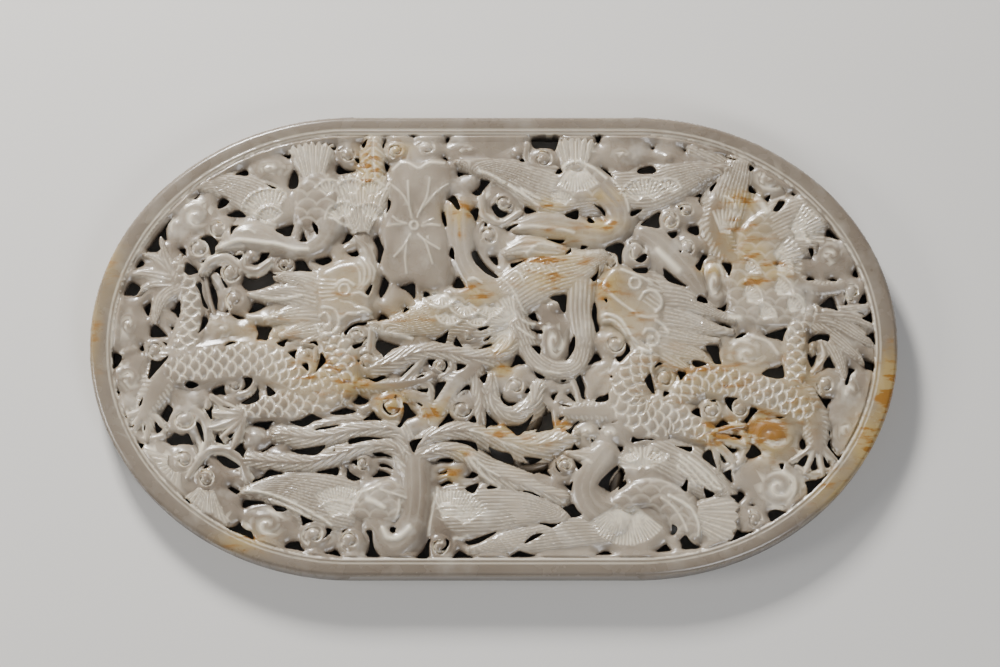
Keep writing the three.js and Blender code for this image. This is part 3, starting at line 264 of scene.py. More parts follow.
# stems, tendrils and loose plumes between the figures
STEMS = [
    ["vine", 0.75, 1, [1.7, 1.6, 1.8], [-60.2, -14.5, -59.2, -17.5, -58, -20.5]],
    ["vine", 0.86, 1, [2.2, 2, 2, 2], [-60, -12.5, -57.8, -14.5, -56.8, -18, -57.6, -21.5]],
    ["vine", 0.9, 1, [2, 1.9, 2, 2, 2.4], [-60.4, -26, -57.4, -21.4, -53.5, -20.7, -50.5, -22.6, -48.8,
      -26.6]],
    ["vine", 0.75, 1, [1.2, 1.2, 1.2], [-58, 14.5, -57.3, 11, -56, 6.8]],
    ["vine", 0.75, 1, [1.4, 1.4, 1.6], [-56.2, 14.6, -54.4, 11.6, -54.4, 8]],
    ["vine", 0.85, 1, [1.6, 2.4, 2.4, 2], [-58.5, 15.5, -56.8, 17.6, -54, 18.4, -51.6, 16.6]],
    ["vine", 0.85, 1, [1.8, 2, 2, 1.8], [-50.9, 19, -50.3, 16.2, -47.5, 15.6, -45, 17.4]],
    ["vine", 0.62, 1, [1.6, 1.6, 1.4], [-55, 26.8, -51, 26, -47, 25.6]],
    ["vine", 0.7, 1, [1.4, 1.4, 1.4], [-56, 27.8, -54, 28.8, -51.6, 30]],
    ["vine", 0.84, 1, [1.4, 1.4], [-35.4, 0.2, -36, -4.6]],
    ["vine", 0.8, 1, [1.8, 1.8, 1.6], [-47.8, -6.4, -48.6, -8.8, -51.4, -9.8]],
    ["vine", 0.85, 1, [2, 2], [-24.4, 4.4, -24.6, -0.4]],
    ["limb", 0.88, 1, [2, 3, 2.8, 2], [-28, -7.5, -22.5, -8, -17, -7.4, -12.6, -6]],
    ["limb", 0.88, 1, [2, 3, 3.4, 3.4], [-17.5, -9.4, -14.5, -10.6, -13, -13, -11.6, -14.8]],
    ["vine", 0.86, 1, [1.6, 1.8, 1.2], [-15.5, -7, -13, -7.8, -12.4, -10.8]],
    ["vine", 0.84, 1, [1.4, 1.6, 1.6], [-8.4, -2.4, -8.3, -4.4, -10.4, -6]],
    ["vine", 0.84, 1, [1.8, 2.2, 1.6], [-14, -2.4, -15.7, -4.6, -18, -6.6]],
    ["limb", 0.9, 2, [4, 4.4, 4], [-4, -4.2, -7.3, -7.2, -10.4, -11.8]],
    ["plume", 0.88, 2, [3, 3.6, 3], [-3.4, -5.5, -2.4, -10, -2.8, -14.6]],
    ["plume", 0.88, 2, [3, 3.2, 3.2, 3, 3], [-0.4, -6.5, -0.3, -10.7, 3.4, -13.4, 7.6, -11.6, 9, -8]],
    ["vine", 0.6, 1, [1.3, 1.3], [-8.5, 3.6, -8.9, 0.2]],
    ["vine", 0.6, 1, [1.8, 2, 1.8, 1.6], [-3.4, -21.5, 0.5, -23.6, 6, -24.2, 11, -23]],
    ["vine", 0.58, 1, [1.6, 1.6], [4.4, -20.5, 5, -24]],
    ["vine", 0.58, 1, [1.8, 1.8], [9, -12.6, 6.2, -18.2]],
    ["vine", 0.58, 1, [1.6, 1.8], [-2.7, -18.7, -1.2, -22.4]],
    ["vine", 0.6, 1, [2, 1.8], [-31.6, -18.6, -33.6, -22]],
    ["limb", 0.88, 2, [3, 4, 5], [14.8, -13, 19, -13, 24.5, -12.6]],
    ["vine", 0.8, 1, [1.6, 1.8, 1.4], [15, -4.8, 16.4, -8, 17.2, -11]],
    ["vine", 0.62, 1, [2.4, 2.4, 2.2], [26.8, 24.4, 30, 26.6, 33.4, 29]],
    ["vine", 0.68, 1, [2.4, 2.4], [32.4, 19.4, 33, 13.4]],
    ["vine", 0.84, 1, [1.8, 1.8, 1.8, 1.8], [-2.4, 31.4, -2, 27.2, 1.2, 25.3, 5, 27.4]],
    ["vine", 0.84, 1, [1.6, 1.6, 1.6], [6.6, 41.6, 6.9, 37.8, 12.4, 36.6]],
    ["vine", 0.84, 1, [1.6, 1.8, 1.6], [25.8, 3.6, 27.4, 1.4, 29, -2]],
    ["vine", 0.84, 1, [1.5, 1.5, 1.5], [65.6, 1.4, 66.2, -2, 64, -5]],
    ["vine", 0.6, 1, [2.4, 2.4], [39.4, -25, 40, -31]],
    ["vine", 0.6, 1, [1.6, 1.6], [57.4, 31.6, 56, 27.4]],
    ["vine", 0.6, 1, [1.8, 1.8], [24.4, -25.4, 23.4, -30]],
]
# claws and tail fans: a kind, a crest, how many, a root, the way they point, their spread and two reaches
FANS = [
    ["claw", 0.9, 4, -69.7, -12.6, 262, 112, 0.5, 6.2],
    ["claw", 0.9, 5, -49.4, -13.8, 204, 98, 0.5, 7.8],
    ["claw", 0.9, 4, 64.4, -19.4, 268, 98, 0.6, 6.4],
    ["claw", 0.93, 4, 42.4, -17.8, -27, 90, 0.6, 7.8],
    ["ribs", 0.92, 7, -36.2, 29, 92, 42, 5, 13],
    ["ribs", 0.92, 6, 16.4, 29, 90, 34, 8, 14],
    ["ribs", 0.93, 6, 35.5, -33, -10, 56, 5, 13],
    ["ribs", 0.9, 9, -26.5, 20.6, 93, 62, 3, 15],
    ["ribs", 0.92, 8, -62.4, -23, 216, 120, 2.4, 9],
    ["ribs", 0.92, 8, -56.6, -26.6, 258, 76, 2.4, 10],
]
# heads, bodies and the lotus leaf: a kind, a crest and an outline
PATCHES = [
    ["head", 1, [-36, 10, -35, 15, -31, 17, -27, 17.6, -24.5, 16, -23.8, 13, -25, 9.5, -24.5, 6.5, -27, 5.2,
      -31, 4, -35, 5]],
    ["head", 1, [20.8, 9, 21.5, 13, 24, 16.4, 28, 15.4, 32, 14, 34.5, 10.5, 34, 5, 31, 1, 27.5, 1.2, 24.5,
      4.6, 21.6, 5.4]],
    ["body", 0.98, [-40, 30, -39.3, 34, -36, 36, -32.5, 35, -31.5, 31, -32.5, 27, -33.5, 23.6, -36, 23.5,
      -39.5, 25.5]],
    ["body", 0.98, [12, 33.6, 14.5, 37, 17.5, 38, 20.5, 36.6, 22.8, 34.4, 24, 31.5, 21, 29.6, 16, 29.4,
      12.6, 30.4]],
    ["body", 0.98, [22, -32, 26.5, -28.2, 31, -26.6, 36, -27.8, 39.6, -31, 41, -36, 40, -39.4, 36.8, -37.6,
      34.4, -33.6, 30, -31.6, 25.5, -33.6]],
    ["body", 0.97, [-28, -30, -24.6, -28, -20, -27, -17, -29, -17.4, -33.6, -21, -35.6, -25, -35.4, -28.6,
      -33.4]],
    ["leaf", 0.92, [-15, 37.4, -18, 38.6, -20.8, 36, -21.4, 33, -20.6, 30, -21.7, 27, -22.6, 24.5, -22, 20,
      -22.8, 17, -22, 15, -20, 13, -17, 13.7, -14.5, 12, -12, 11.6, -9.4, 12.5, -8.9, 14.5, -8.6, 17, -9,
      20.5, -9.5, 23, -10.6, 26, -10.8, 29, -9.6, 31.5, -8, 34, -9, 37.4, -12, 38.8]],
    ["body", 0.96, [-13, 3.6, -13.6, 8, -10, 11.4, -5, 12.4, 0, 12.6, 4, 11, 5.4, 7.6, 4, 4.6, 0.6, 3.4,
      -4.8, 4.8, -9, 3.2]],
    ["body", 0.96, [47.4, 8, 46.6, 14, 48.6, 19.5, 50, 25, 54.8, 28.6, 57, 24, 60, 17, 62, 12.6, 62.4, 8,
      58.4, 4, 52, 4.4]],
]
# clouds, curls, balls and lobes: a kind, a crest, a place, two radii and a turn
BOSSES = [
    ["cloud", 0.9, -60, 27, 4.8, 4.2, 10], ["lobe", 0.84, -63.4, 24.6, 2.6, 3, 0],
    ["lobe", 0.82, -62, 22.2, 3, 2, 0], ["curl", 0.86, -59.5, 20.4, 2.7, 2.6, 0],
    ["curl", 0.86, -55.4, 24.4, 2.6, 2.5, 0], ["curl", 0.86, -52.8, 15.4, 2.4, 2.7, 0],
    ["curl", 0.84, -51.8, 9.8, 2.6, 2.6, 0], ["ball", 0.87, -48.6, 18.8, 1.7, 1.6, 0],
    ["curl", 0.84, -42, 17.2, 2.2, 2.1, 0], ["cloud", 0.88, -45, 36.8, 4.8, 2.9, 0],
    ["cloud", 0.88, -73, 4.6, 3.6, 4.6, 0], ["lobe", 0.84, -73, -0.8, 2.6, 1.6, 20],
    ["cloud", 0.88, -72.6, -6.2, 3.5, 4, 0], ["lobe", 0.84, -72.8, -11.2, 2.7, 2.8, 0],
    ["curl", 0.86, -67.4, -0.5, 2.4, 2.3, 0], ["curl", 0.87, -61.8, -14.6, 3.2, 3, 0],
    ["curl", 0.92, -61.6, -22.8, 2.3, 2.2, 0], ["curl", 0.92, -57.2, -26.6, 2.3, 2.3, 0],
    ["curl", 0.87, -37.9, -1.6, 1.9, 1.7, 0], ["curl", 0.84, -51.8, -7.6, 2.2, 2, 0],
    ["cloud", 0.86, -54.2, 3.6, 3.8, 3.1, 0], ["lobe", 0.82, -49.8, 3.6, 2.4, 2.6, 0],
    ["lobe", 0.8, -57, 0.4, 2.2, 1.3, 0], ["lobe", 0.82, -43.8, 2.8, 1.4, 2, 0],
    ["curl", 0.89, -27.3, 2.4, 2.5, 2.2, 0], ["curl", 0.89, -25.2, -3, 2.6, 2.7, 0],
    ["curl", 0.96, -20.6, -12, 3, 2.9, 0], ["curl", 0.88, -10.7, -3.6, 1.9, 1.7, 0],
    ["curl", 0.88, -4.8, 2.9, 2.2, 1.9, 0], ["curl", 0.9, -6.4, -12.4, 2.6, 2.5, 0],
    ["curl", 0.9, 4.4, -8, 2.3, 2.3, 0], ["cloud", 0.92, 12, 1.4, 2.8, 5, 0],
    ["lobe", 0.86, 12, 8.2, 2.4, 1.8, 0], ["curl", 0.9, 24.2, 0.8, 2.4, 2.5, 0],
    ["lobe", 0.86, 22.4, -6.2, 3, 3, 0], ["cloud", 0.88, 55, 34.6, 4.5, 3.3, -25],
    ["cloud", 0.88, 67.8, 18.8, 4, 3.9, 0], ["curl", 0.88, 71.8, 11.4, 2.3, 2.5, 0],
    ["cloud", 0.92, 44.2, 13.4, 2.8, 5.4, 0], ["curl", 0.9, 28.6, 19.4, 2.8, 3, 0],
    ["curl", 0.92, 35.4, 25.8, 2.3, 2.4, 0], ["curl", 0.88, 38.9, 20.2, 2.2, 2.5, 0],
    ["curl", 0.86, 38.6, 28, 2.4, 1.8, 0], ["curl", 0.9, 2, 29.7, 2.2, 2, 0],
    ["curl", 0.88, -0.9, 22.6, 2.3, 2.6, 0], ["curl", 0.9, 9.8, 38.6, 2.6, 2.3, 0],
    ["ball", 0.92, 4.6, 39.9, 1.8, 1.8, 0], ["cloud", 0.86, -5.5, 40.6, 4.8, 2.4, 0],
    ["curl", 0.88, -13.6, 40.9, 2.7, 2, 0], ["curl", 0.94, -19.7, 40.3, 2.2, 1.9, 0],
    ["curl", 0.86, -29.6, 39.5, 2.4, 2.2, 0], ["cloud", 0.86, 26.2, 39.6, 5, 3, 0],
    ["ball", 0.92, 35.2, 38.9, 2, 1.7, 0], ["curl", 0.88, 23.4, 17.4, 2, 2.3, 0],
    ["cloud", 0.9, -44.8, -35.7, 5.2, 4.2, -10], ["curl", 0.88, -35.6, -37.8, 3, 2.6, 0],
    ["curl", 0.88, -28.4, -38.9, 2.6, 2.6, 0], ["curl", 0.88, -10.8, -40, 2.2, 2.4, 0],
    ["cloud", 0.92, 56.4, -28, 5.6, 5.2, 0], ["cloud", 0.92, 55.4, -17.8, 5.4, 4.6, -20],
    ["cloud", 0.88, 71.2, -8.8, 3.8, 4.5, 0], ["cloud", 0.86, 70.2, -16.6, 3.3, 4.6, 0],
    ["cloud", 0.9, 50.6, -1.2, 5.6, 4.2, -10], ["curl", 0.87, 43.2, -12.6, 2.3, 2.2, 0],
    ["curl", 0.87, 48.8, -12.4, 2.4, 2.4, 0], ["curl", 0.88, 34.2, -6.4, 2.3, 2.7, 0],
    ["cloud", 0.86, 18.8, -17, 2.8, 2.2, 0], ["cloud", 0.86, 23.4, -17.4, 2.8, 2.2, 0],
    ["curl", 0.9, 14.3, -23.8, 1.9, 1.8, 0], ["curl", 0.88, 66.2, -7.6, 2.4, 2.6, 0],
    ["ball", 0.86, 63.8, 0, 1.1, 1.8, 0], ["curl", 0.88, 51.6, -34.8, 2.2, 2.4, 0],
    ["lobe", 0.85, -47.4, -18.4, 2.8, 2.4, 0], ["lobe", 0.84, -47.2, -23.2, 2.8, 2.4, 0],
    ["curl", 0.88, -26, -23.4, 1.8, 1.8, 0], ["cloud", 0.86, 72.6, -13.6, 2.4, 3.4, 0],
    ["cloud", 0.99, -33.6, 2.2, 2.4, 2, 0], ["cloud", 0.99, 31.8, 1.8, 2.2, 2, 0],
    ["ball", 1, -29, 11, 1.2, 0.9, 0], ["ball", 1, 28.3, 13, 1.2, 0.9, 0],
    ["ball", 1, -50.2, 23.2, 0.8, 0.7, 0], ["ball", 1, 21.6, -21, 0.8, 0.7, 0],
]
# openings beside the left dragon, its tail and its claws
OPEN_LEFT = [
    [-60.5, 30.4, -59.1, 31.7, -59.9, 30.4], [-55.1, 31.2, -52.8, 29.8, -55.9, 28.1],
    [-64.6, 26.8, -67.6, 23.4, -70.2, 19.6, -66.7, 19.7, -67.4, 21.3, -67.1, 22.8, -65.7, 21.8, -66.1,
      24.3],
    [-70.9, 18.3, -70, 17, -72, 16.2], [-73, 13.9, -70.5, 12.3, -71.6, 10.4, -72.9, 10.8, -74.4, 10.7],
    [-63.5, 20.4, -61.8, 20.4, -61.9, 18.6], [-61.8, 17.8, -58.8, 15.6, -61.2, 14.4, -62.2, 15.5],
    [-59.3, 22.4, -57.2, 23.4, -55.2, 21.6, -56, 20.3, -55.8, 19.3, -56.9, 18.7, -57, 20, -57.8, 21.7],
    [-58.6, 17.8, -58, 17.8, -58.2, 17.3],
    [-60, 13.1, -58.6, 13.6, -58.4, 10.5, -57, 7.8, -58.3, 8.3, -58.8, 11.2],
    [-57.2, 13.3, -56.2, 12.7, -55.3, 10.5, -55.6, 7.3, -56.5, 9.9],
    [-56.3, 15.7, -55.4, 16.6, -54.4, 16.6, -55, 15.6, -54.6, 14.2, -53.2, 12.4, -53.9, 12.2, -54.9, 14.5,
      -55.3, 15.2],
    [-70.2, 8.6, -68.6, 9.5, -69.1, 6.3, -69.9, 7.3],
    [-64.8, 7.7, -63.8, 8.3, -63.6, 9.2, -62.8, 9.7, -62.6, 7.6, -63.1, 5.7, -63.7, 7],
    [-53.8, 7.2, -53.1, 7.3, -53.4, 8], [-58.3, 6.8, -57, 5.7, -57.7, 4.2, -59.3, 2.4, -58.6, 4.4],
    [-68.8, 1.9, -68.7, 4.4, -68.1, 4.8, -67.3, 4.6, -65.2, 2.3, -66, 2.3],
    [-64.7, 4.3, -63.9, 4.3, -64.3, 3.5], [-71, -0.3, -70.2, 0.8, -69.8, -0.9],
    [-66.3, 1.3, -65.3, 0.9, -65.4, 0.2],
    [-76.5, -0.6, -74, -1.6, -75, -3.7, -76.3, -4.6, -76.6, -5.7, -76.4, -3],
    [-68.6, -2.5, -68, -2.5, -67, -2.9, -65, -1.7, -65, -2.3, -67, -4.6, -68.7, -6.7, -69.1, -6, -68.6, -4],
    [-61.8, -7.7, -60.9, -6.5, -58.4, -7.6, -60.4, -8.5],
    [-56.4, -8.3, -53.7, -7.4, -53.8, -8.5, -53.4, -9.6, -54.5, -9.3, -55.9, -9.6],
    [-75.9, -8.6, -74.6, -8.9, -75.1, -10, -75.5, -11.3, -75.8, -10],
    [-69.9, -10, -70, -11.4, -70.8, -12.5, -70.6, -11.3],
]
# openings round the crane and along the top of the rim
OPEN_TOP_LEFT = [
    [-54.2, 27.1, -51.6, 28.7, -49.4, 26.8, -51.8, 26.8], [-52.7, 35.4, -49.9, 37, -49.2, 35.1],
    [-42.9, 39.6, -40.8, 39.8, -41.2, 38.7],
    [-40.4, 36.8, -39.6, 35.6, -39.3, 34.3, -39.5, 32.5, -41.5, 32.7, -41.2, 35],
    [-46.1, 33.6, -43.5, 32.7, -44.4, 32.3], [-33.1, 41.1, -31.8, 41.2, -32.1, 40.2],
    [-31.5, 38, -30.4, 36.9, -29, 36.5, -27.6, 36.3, -31.9, 35.5], [-28.5, 39, -27, 38.9, -27.2, 37.6],
    [-26.9, 41.8, -25.3, 41.9, -26.2, 40.5], [-22.6, 41.4, -21.8, 42.1, -22.3, 40.5],
    [-22.1, 38.3, -21, 37.3, -21.6, 36, -22, 37],
    [-21.4, 30.7, -20.6, 29.8, -20.9, 28.4, -21.7, 27.2, -21.3, 28.9],
    [-16.8, 42.5, -15.9, 42.4, -16.1, 42], [-9.7, 42.1, -8.8, 42, -9.5, 41.8],
    [-10.3, 39, -9.8, 39.3, -9.2, 38.3], [-7.3, 36.4, -6.5, 36, -4.8, 35.8, -6, 35.7, -7.2, 35],
    [-2.8, 34.9, -0.4, 34.1, -1.9, 32.9, -2.5, 31.1, -3.5, 31.2, -4.5, 31.9, -3.1, 32.9, -2.7, 33.7],
    [-9.6, 30.4, -7.9, 31.7, -6.5, 28.1, -7.4, 27.9, -8.4, 29.5],
    [-10.5, 27.9, -9.9, 27.7, -9.3, 24.8, -9.8, 24.5, -10.4, 26],
    [-5, 27.7, -4.2, 28.7, -2.9, 28.7, -3.1, 27.2, -3.6, 25.6, -4.1, 26.9],
    [-2, 24.6, -1.6, 26, -1.2, 24.8],
]
# openings round the upper birds
OPEN_TOP_RIGHT = [
    [7.3, 42.4, 13.5, 42.6, 12.5, 40.2, 11.5, 41, 10, 41, 8.1, 40.7], [20.4, 42.6, 21.9, 42.6, 21, 41.6],
    [21.4, 37.1, 23, 36.5, 24.5, 34.1, 22.8, 35.8], [13.3, 37.1, 14.1, 35.7, 12.1, 35.4],
    [5.1, 38.3, 5.8, 39.1, 6.4, 37.9], [6.1, 29.3, 9, 27.8, 6.2, 27.4],
    [-0.7, 29, 0.6, 29.7, 1, 28.5, 3.3, 27.7, 1.5, 26.5, 0.4, 27.2], [13.7, 27, 17.2, 28.7, 17, 25.7],
    [19, 27.2, 20.7, 25.4, 18.7, 25.4], [19.7, 29.4, 21.5, 29, 22.5, 27.9, 22.4, 26.7, 21.5, 28.2],
    [31.8, 41.2, 32.5, 41.2, 32.1, 40.8], [38.3, 40.8, 39, 40.8, 38.7, 40.3],
    [46.3, 39.3, 48, 38.8, 49.5, 38.3, 48, 38.4], [51.4, 37.7, 52.8, 36.8, 51.6, 35.8],
    [51.4, 33.7, 53.3, 31.6, 51.2, 31.7], [28.7, 35.6, 29.2, 36.9, 32, 37.6, 33, 36.2, 32, 35.4],
    [45.3, 34.2, 43.5, 33, 43.7, 31.5], [40.5, 31.1, 41.8, 31.9, 41.9, 31], [37.2, 28.4, 38.1, 29, 38, 28],
    [27.5, 28.2, 30.4, 28.4, 27.4, 26.3],
    [33.8, 27.8, 33.2, 26.5, 33.6, 24.2, 31.5, 24.5, 29, 25, 32.6, 27.8],
    [39.3, 25.1, 41.3, 25.3, 41.4, 22.8, 39, 23.8], [60, 32, 61.1, 31.3, 60.2, 31.1],
    [54.5, 30.7, 55.8, 31.6, 55.4, 29.7], [57.5, 30.3, 59, 30, 57.3, 27.6, 56, 27.9, 57, 29.5],
]
# openings round the left dragon's mane and the lotus leaf
OPEN_MANE = [
    [-53, 25, -51, 25, -52.2, 24, -52.9, 22.5], [-44.5, 24, -42, 25.1, -40, 25.5, -40.5, 23.8, -41.2, 22.3],
    [-38.3, 23.9, -37.9, 22.5, -37.3, 21.5, -39.3, 21.6, -38.6, 22.4],
    [-36.6, 25.7, -35.5, 24.9, -35.2, 23.9, -35.4, 22.7, -36.3, 24.1],
    [-29.5, 23.8, -27.8, 22.7, -30.7, 21, -29.9, 22.5],
    [-29.5, 19.5, -28.3, 19.7, -27.5, 20.2, -27, 18.9, -28.4, 18.6],
    [-36.3, 18.1, -34.4, 18.5, -33.2, 18.9, -32.6, 18.3, -32.6, 17.5, -34.5, 16.8],
    [-40, 18, -38, 18.1, -37.3, 16.4, -36, 15.5, -39.5, 15.7, -40.4, 15.2, -39.7, 16.2],
    [-47, 19.5, -44.8, 19.5, -45.5, 18.5, -46.5, 17.5, -47.8, 17, -48.6, 17.3, -47.4, 17.8, -46.9, 18.7],
    [-52.6, 18.9, -50.1, 19.2, -51, 17.6, -51.6, 18.4], [-42.6, 16.6, -41.8, 16.6, -42, 16],
    [-50.2, 15, -49.3, 14.4, -48, 14.2, -46.5, 14.8, -45, 15.8, -44.4, 15.4, -43.2, 14.6, -44.5, 14.5,
      -43.7, 13.2, -46.5, 11.9, -48.5, 11.3, -50.6, 12.4],
    [-48.3, 9.5, -46.8, 9.2, -45.5, 8.7, -47.5, 7.4, -49.3, 7.1, -48.6, 8.2],
    [-24.3, 22.3, -23.2, 23.1, -22.7, 21.5, -21.9, 20.1, -22.4, 18.9, -22.8, 16.9, -23.5, 17.7, -23.2, 18.7,
      -23.3, 20.4],
    [-22.2, 14.9, -21.5, 13.9, -20.9, 13.3, -21.6, 11.5, -22.7, 10, -23.1, 11.6, -22.6, 13.2],
    [-25.9, 11, -24.6, 12.9, -24.2, 12.5, -25, 10.3],
    [-19, 12.5, -17.6, 13, -16.2, 13.4, -15.6, 12.7, -15.8, 9.7, -17, 11.4],
    [-14.1, 11.8, -12.5, 11, -14.1, 10], [-8.6, 20.6, -8, 20, -7.8, 17.5, -9.1, 18.8],
]
# openings round the phoenix and the dragons' heads
OPEN_MIDDLE = [
    [-4.6, 19.5, -3.7, 20.2, -2.8, 18.4, -1.4, 16.6, 1.3, 14.3, 0.5, 14, -1.8, 15.1, -3.8, 17.2, -4.3,
      18.3],
    [-8.5, 12, -7.5, 14.5, -6.9, 14.6, -5.4, 12], [-1.1, 18.8, 0.7, 18.9, 0.9, 16.8, 0, 17.2],
    [2.4, 24.7, 5, 25.3, 5, 24.8, 2.8, 23.8], [10, 22.2, 14.8, 22.1, 13.3, 21.1],
    [17.6, 21.1, 19.3, 20.6, 17.5, 20], [14.2, 18.8, 15.5, 20.5, 15.5, 19.2],
    [3.1, 17.3, 4.9, 17.5, 7, 18.1, 5, 17, 3.6, 16], [19.3, 14.1, 20.8, 15.3, 21, 16.9, 21, 15, 20.2, 13.2],
    [11, 10.1, 12, 10.8, 14.7, 11.1, 14.6, 9, 14.4, 7, 13.5, 7.5, 12.9, 9.3],
    [22, 9.8, 22.8, 9.8, 22.6, 8.8],
    [22.3, 19.8, 22.7, 20.7, 25, 21.7, 26.5, 21.1, 25.7, 19.5, 25.8, 17, 25, 17, 24.9, 19],
    [34.6, 23.5, 37, 24, 36.8, 22.8, 35.9, 22], [37.2, 19.7, 37.9, 19.6, 37.5, 19.1],
    [42, 19.4, 43.2, 18.8, 42.1, 17.7, 41.5, 15.2, 40.2, 16.5, 41.3, 17.8],
    [45.5, 17.6, 48.1, 17.2, 47.2, 14.1, 46.8, 15.4],
    [33.9, 16.5, 36, 14.7, 38.3, 12.8, 39.2, 12.1, 35, 13.3, 34.2, 14.5],
    [27.5, 16.1, 31, 16.7, 30.9, 15.1, 28.8, 15],
    [28.2, 17.8, 29.2, 18.6, 30.2, 19.4, 31, 18.9, 30.5, 17.7, 29.5, 17.1],
    [40.4, 9.4, 41.2, 10.8, 42.8, 9.9, 43, 8.7], [44.3, 8, 45.5, 8.1, 46.8, 9.2, 46.3, 7.1],
]
# openings beside the right bird and the right dragon's tail
OPEN_FAR_RIGHT = [
    [67.2, 24.8, 68.8, 23, 69.6, 21.9, 68, 22.5, 66.7, 22.9], [63, 20.3, 64.2, 20.4, 64.3, 19, 63.8, 18.4],
    [62.5, 13.5, 63.2, 14.8, 64.8, 13.8], [67.1, 13.7, 68, 14.3, 69, 13.9, 68.9, 13.4],
    [72.6, 16.5, 73.4, 14.2, 71.9, 14.7], [70.5, 10.2, 71, 8.9, 70.3, 8.5],
    [73.9, 10.9, 74.5, 11.2, 75, 9, 72.9, 8.9],
    [65, 8.4, 66.2, 9.4, 67.8, 10.9, 68.5, 9.3, 69.2, 7.2, 67.6, 7.9],
    [75.6, 7.5, 75.9, 4.9, 75.2, 5, 73.4, 5.9, 74.7, 6.5],
    [76, 3.3, 76.3, 1.5, 76.3, 0.1, 75.4, 1.7, 74.3, 2.4, 75.3, 2.9],
    [62.7, 0.7, 63.2, 1.9, 64.5, 2.9, 67.4, 2.7, 66.9, 0.9, 66, 1.5, 64.3, 1.5],
    [62.6, -1.1, 63, -1.2, 63.6, -2, 64.5, -1.2, 64.2, -3, 63.5, -4.1, 62.8, -2.6],
    [67, -1.3, 67.7, -2.8, 68.5, -4.2, 67, -3.9, 65.5, -4.1],
    [70.8, -3.8, 72.4, -4.5, 71.2, -5.5, 70.7, -7.7, 69.9, -7.7, 70.6, -5.6, 70.9, -4.6],
    [73.6, -1.9, 74.6, -2.4, 76.2, -3.2, 76.2, -5.3, 75.5, -4.6, 74.1, -4.1, 74, -2.8],
]
# openings round the left dragon's chest and the curls beside it
OPEN_CHEST = [
    [-52.6, 7, -51.7, 6.8, -50.5, 6.4, -49.6, 6, -51.5, 5.9],
    [-47.8, 4.7, -46, 4.5, -44.1, 4.3, -45, 2.7, -45.2, 1.3, -46.3, 1.5, -47.6, 1.5, -47, 2.9],
    [-43.8, 0.8, -41, 2, -41.7, 0.9, -41.8, -0.2], [-54, 0, -52.8, 1.2, -51.1, 0.9, -52.4, 0.6],
    [-37.1, 0.8, -35.9, 1.4, -35.4, 1.3, -35, 0.1, -35.9, 0.7],
    [-41.2, -1.1, -40.4, -0.7, -39.2, -0.4, -39.7, -1.8, -39.5, -2.6, -40.3, -2],
    [-38.5, -3.5, -37.1, -3, -36.8, -4.9, -37.3, -4.9],
    [-34.5, -0.8, -33.3, -2.9, -34.5, -4.1, -35.7, -5.4, -35.3, -4.4, -34.8, -2.6],
    [-50.2, -6.1, -49.4, -5.9, -47.9, -6.3, -48.5, -7.8, -49.2, -8.3, -50.6, -8.8, -49.6, -8, -49.6, -6.9],
    [-47.1, -7.6, -46.9, -9.3, -46.6, -10.9, -48.9, -11.8, -50.8, -11.3, -48.3, -9.8, -47.3, -8.5],
    [-45.4, -7.4, -43, -9.5, -45, -10.2, -45.3, -9],
    [-30.1, 3, -28.8, 4.4, -27.2, 5.1, -25.3, 5.2, -25.2, 4.7, -27.4, 4.5, -28.9, 3.5, -29.5, 2.2],
    [-28.5, 0.5, -27.3, 0.8, -25.9, 1.4, -26.3, 0.4, -27.2, -0.1, -27.9, -0.5],
    [-27.3, -2.6, -26.7, -2.6, -27, -3.2],
    [-23.4, 2.1, -21, 1.2, -18.5, 0.4, -20.4, -0.3, -22, -2.2, -22.4, -1.3, -23.8, 0],
    [-25.9, -5.8, -24.3, -6.4, -22.2, -5.5, -21.2, -6, -23.5, -7.3],
    [-15.7, -3.1, -17, -4.6, -18.6, -6, -17.8, -4.9, -16.6, -3.6],
    [-13.9, -5.4, -13.8, -5.9, -15.5, -6.4, -14.7, -5.6],
    [-13.4, -2.3, -11.4, -2.4, -12.1, -3.1, -12.4, -4.1, -12.9, -3.3],
    [-9.9, -2.6, -9.2, -2.9, -9.1, -3.9, -9.9, -5.2, -10.7, -4.5, -9.9, -4.6, -9.5, -3.7],
    [-7.5, -3, -5, -3.7, -7.5, -5, -7.3, -4],
    [-11.7, -6.9, -9.2, -6.8, -10.3, -8.7, -12, -11.2, -11.7, -9.5],
    [-15.3, -8.7, -14.1, -8.2, -13, -8.2, -13.1, -9.1, -14.3, -9.1],
    [-11.9, 1.5, -9.7, 3, -8.9, 3.5, -9.3, 2.3, -9.6, 0.7, -11, 1],
    [-7.6, 2.4, -6.8, 1.1, -5.9, -0.1, -8.2, 0.3], [-5.6, 1.7, -4.4, 1.7, -5, 1.4],
    [-3.4, 3.8, -2, 4.2, -0.6, 4.4, -1.6, 3.6, -2.7, 3.2],
    [-2, 1.4, -1.4, 2, -0.4, 2.5, -0.9, 1.7, -1.8, 1.3],
    [-4.3, -0.4, -2.5, -0.1, -1.9, 0.7, 0, 0.9, -0.9, 0.2, -2.6, -0.4],
    [-3.1, -6, -1.1, -5, -1.4, -6.2, -1.9, -7.7],
    [-4.9, -7.4, -4.6, -8.5, -6, -8.6, -7.4, -9.9, -6.4, -8.5, -5.6, -7.6],
    [-22.5, 7.2, -20.6, 5.8, -22, 5.6, -23.5, 5.2, -23, 6.3], [-17.8, 8.4, -16.7, 7.8, -18.3, 6.8],
]
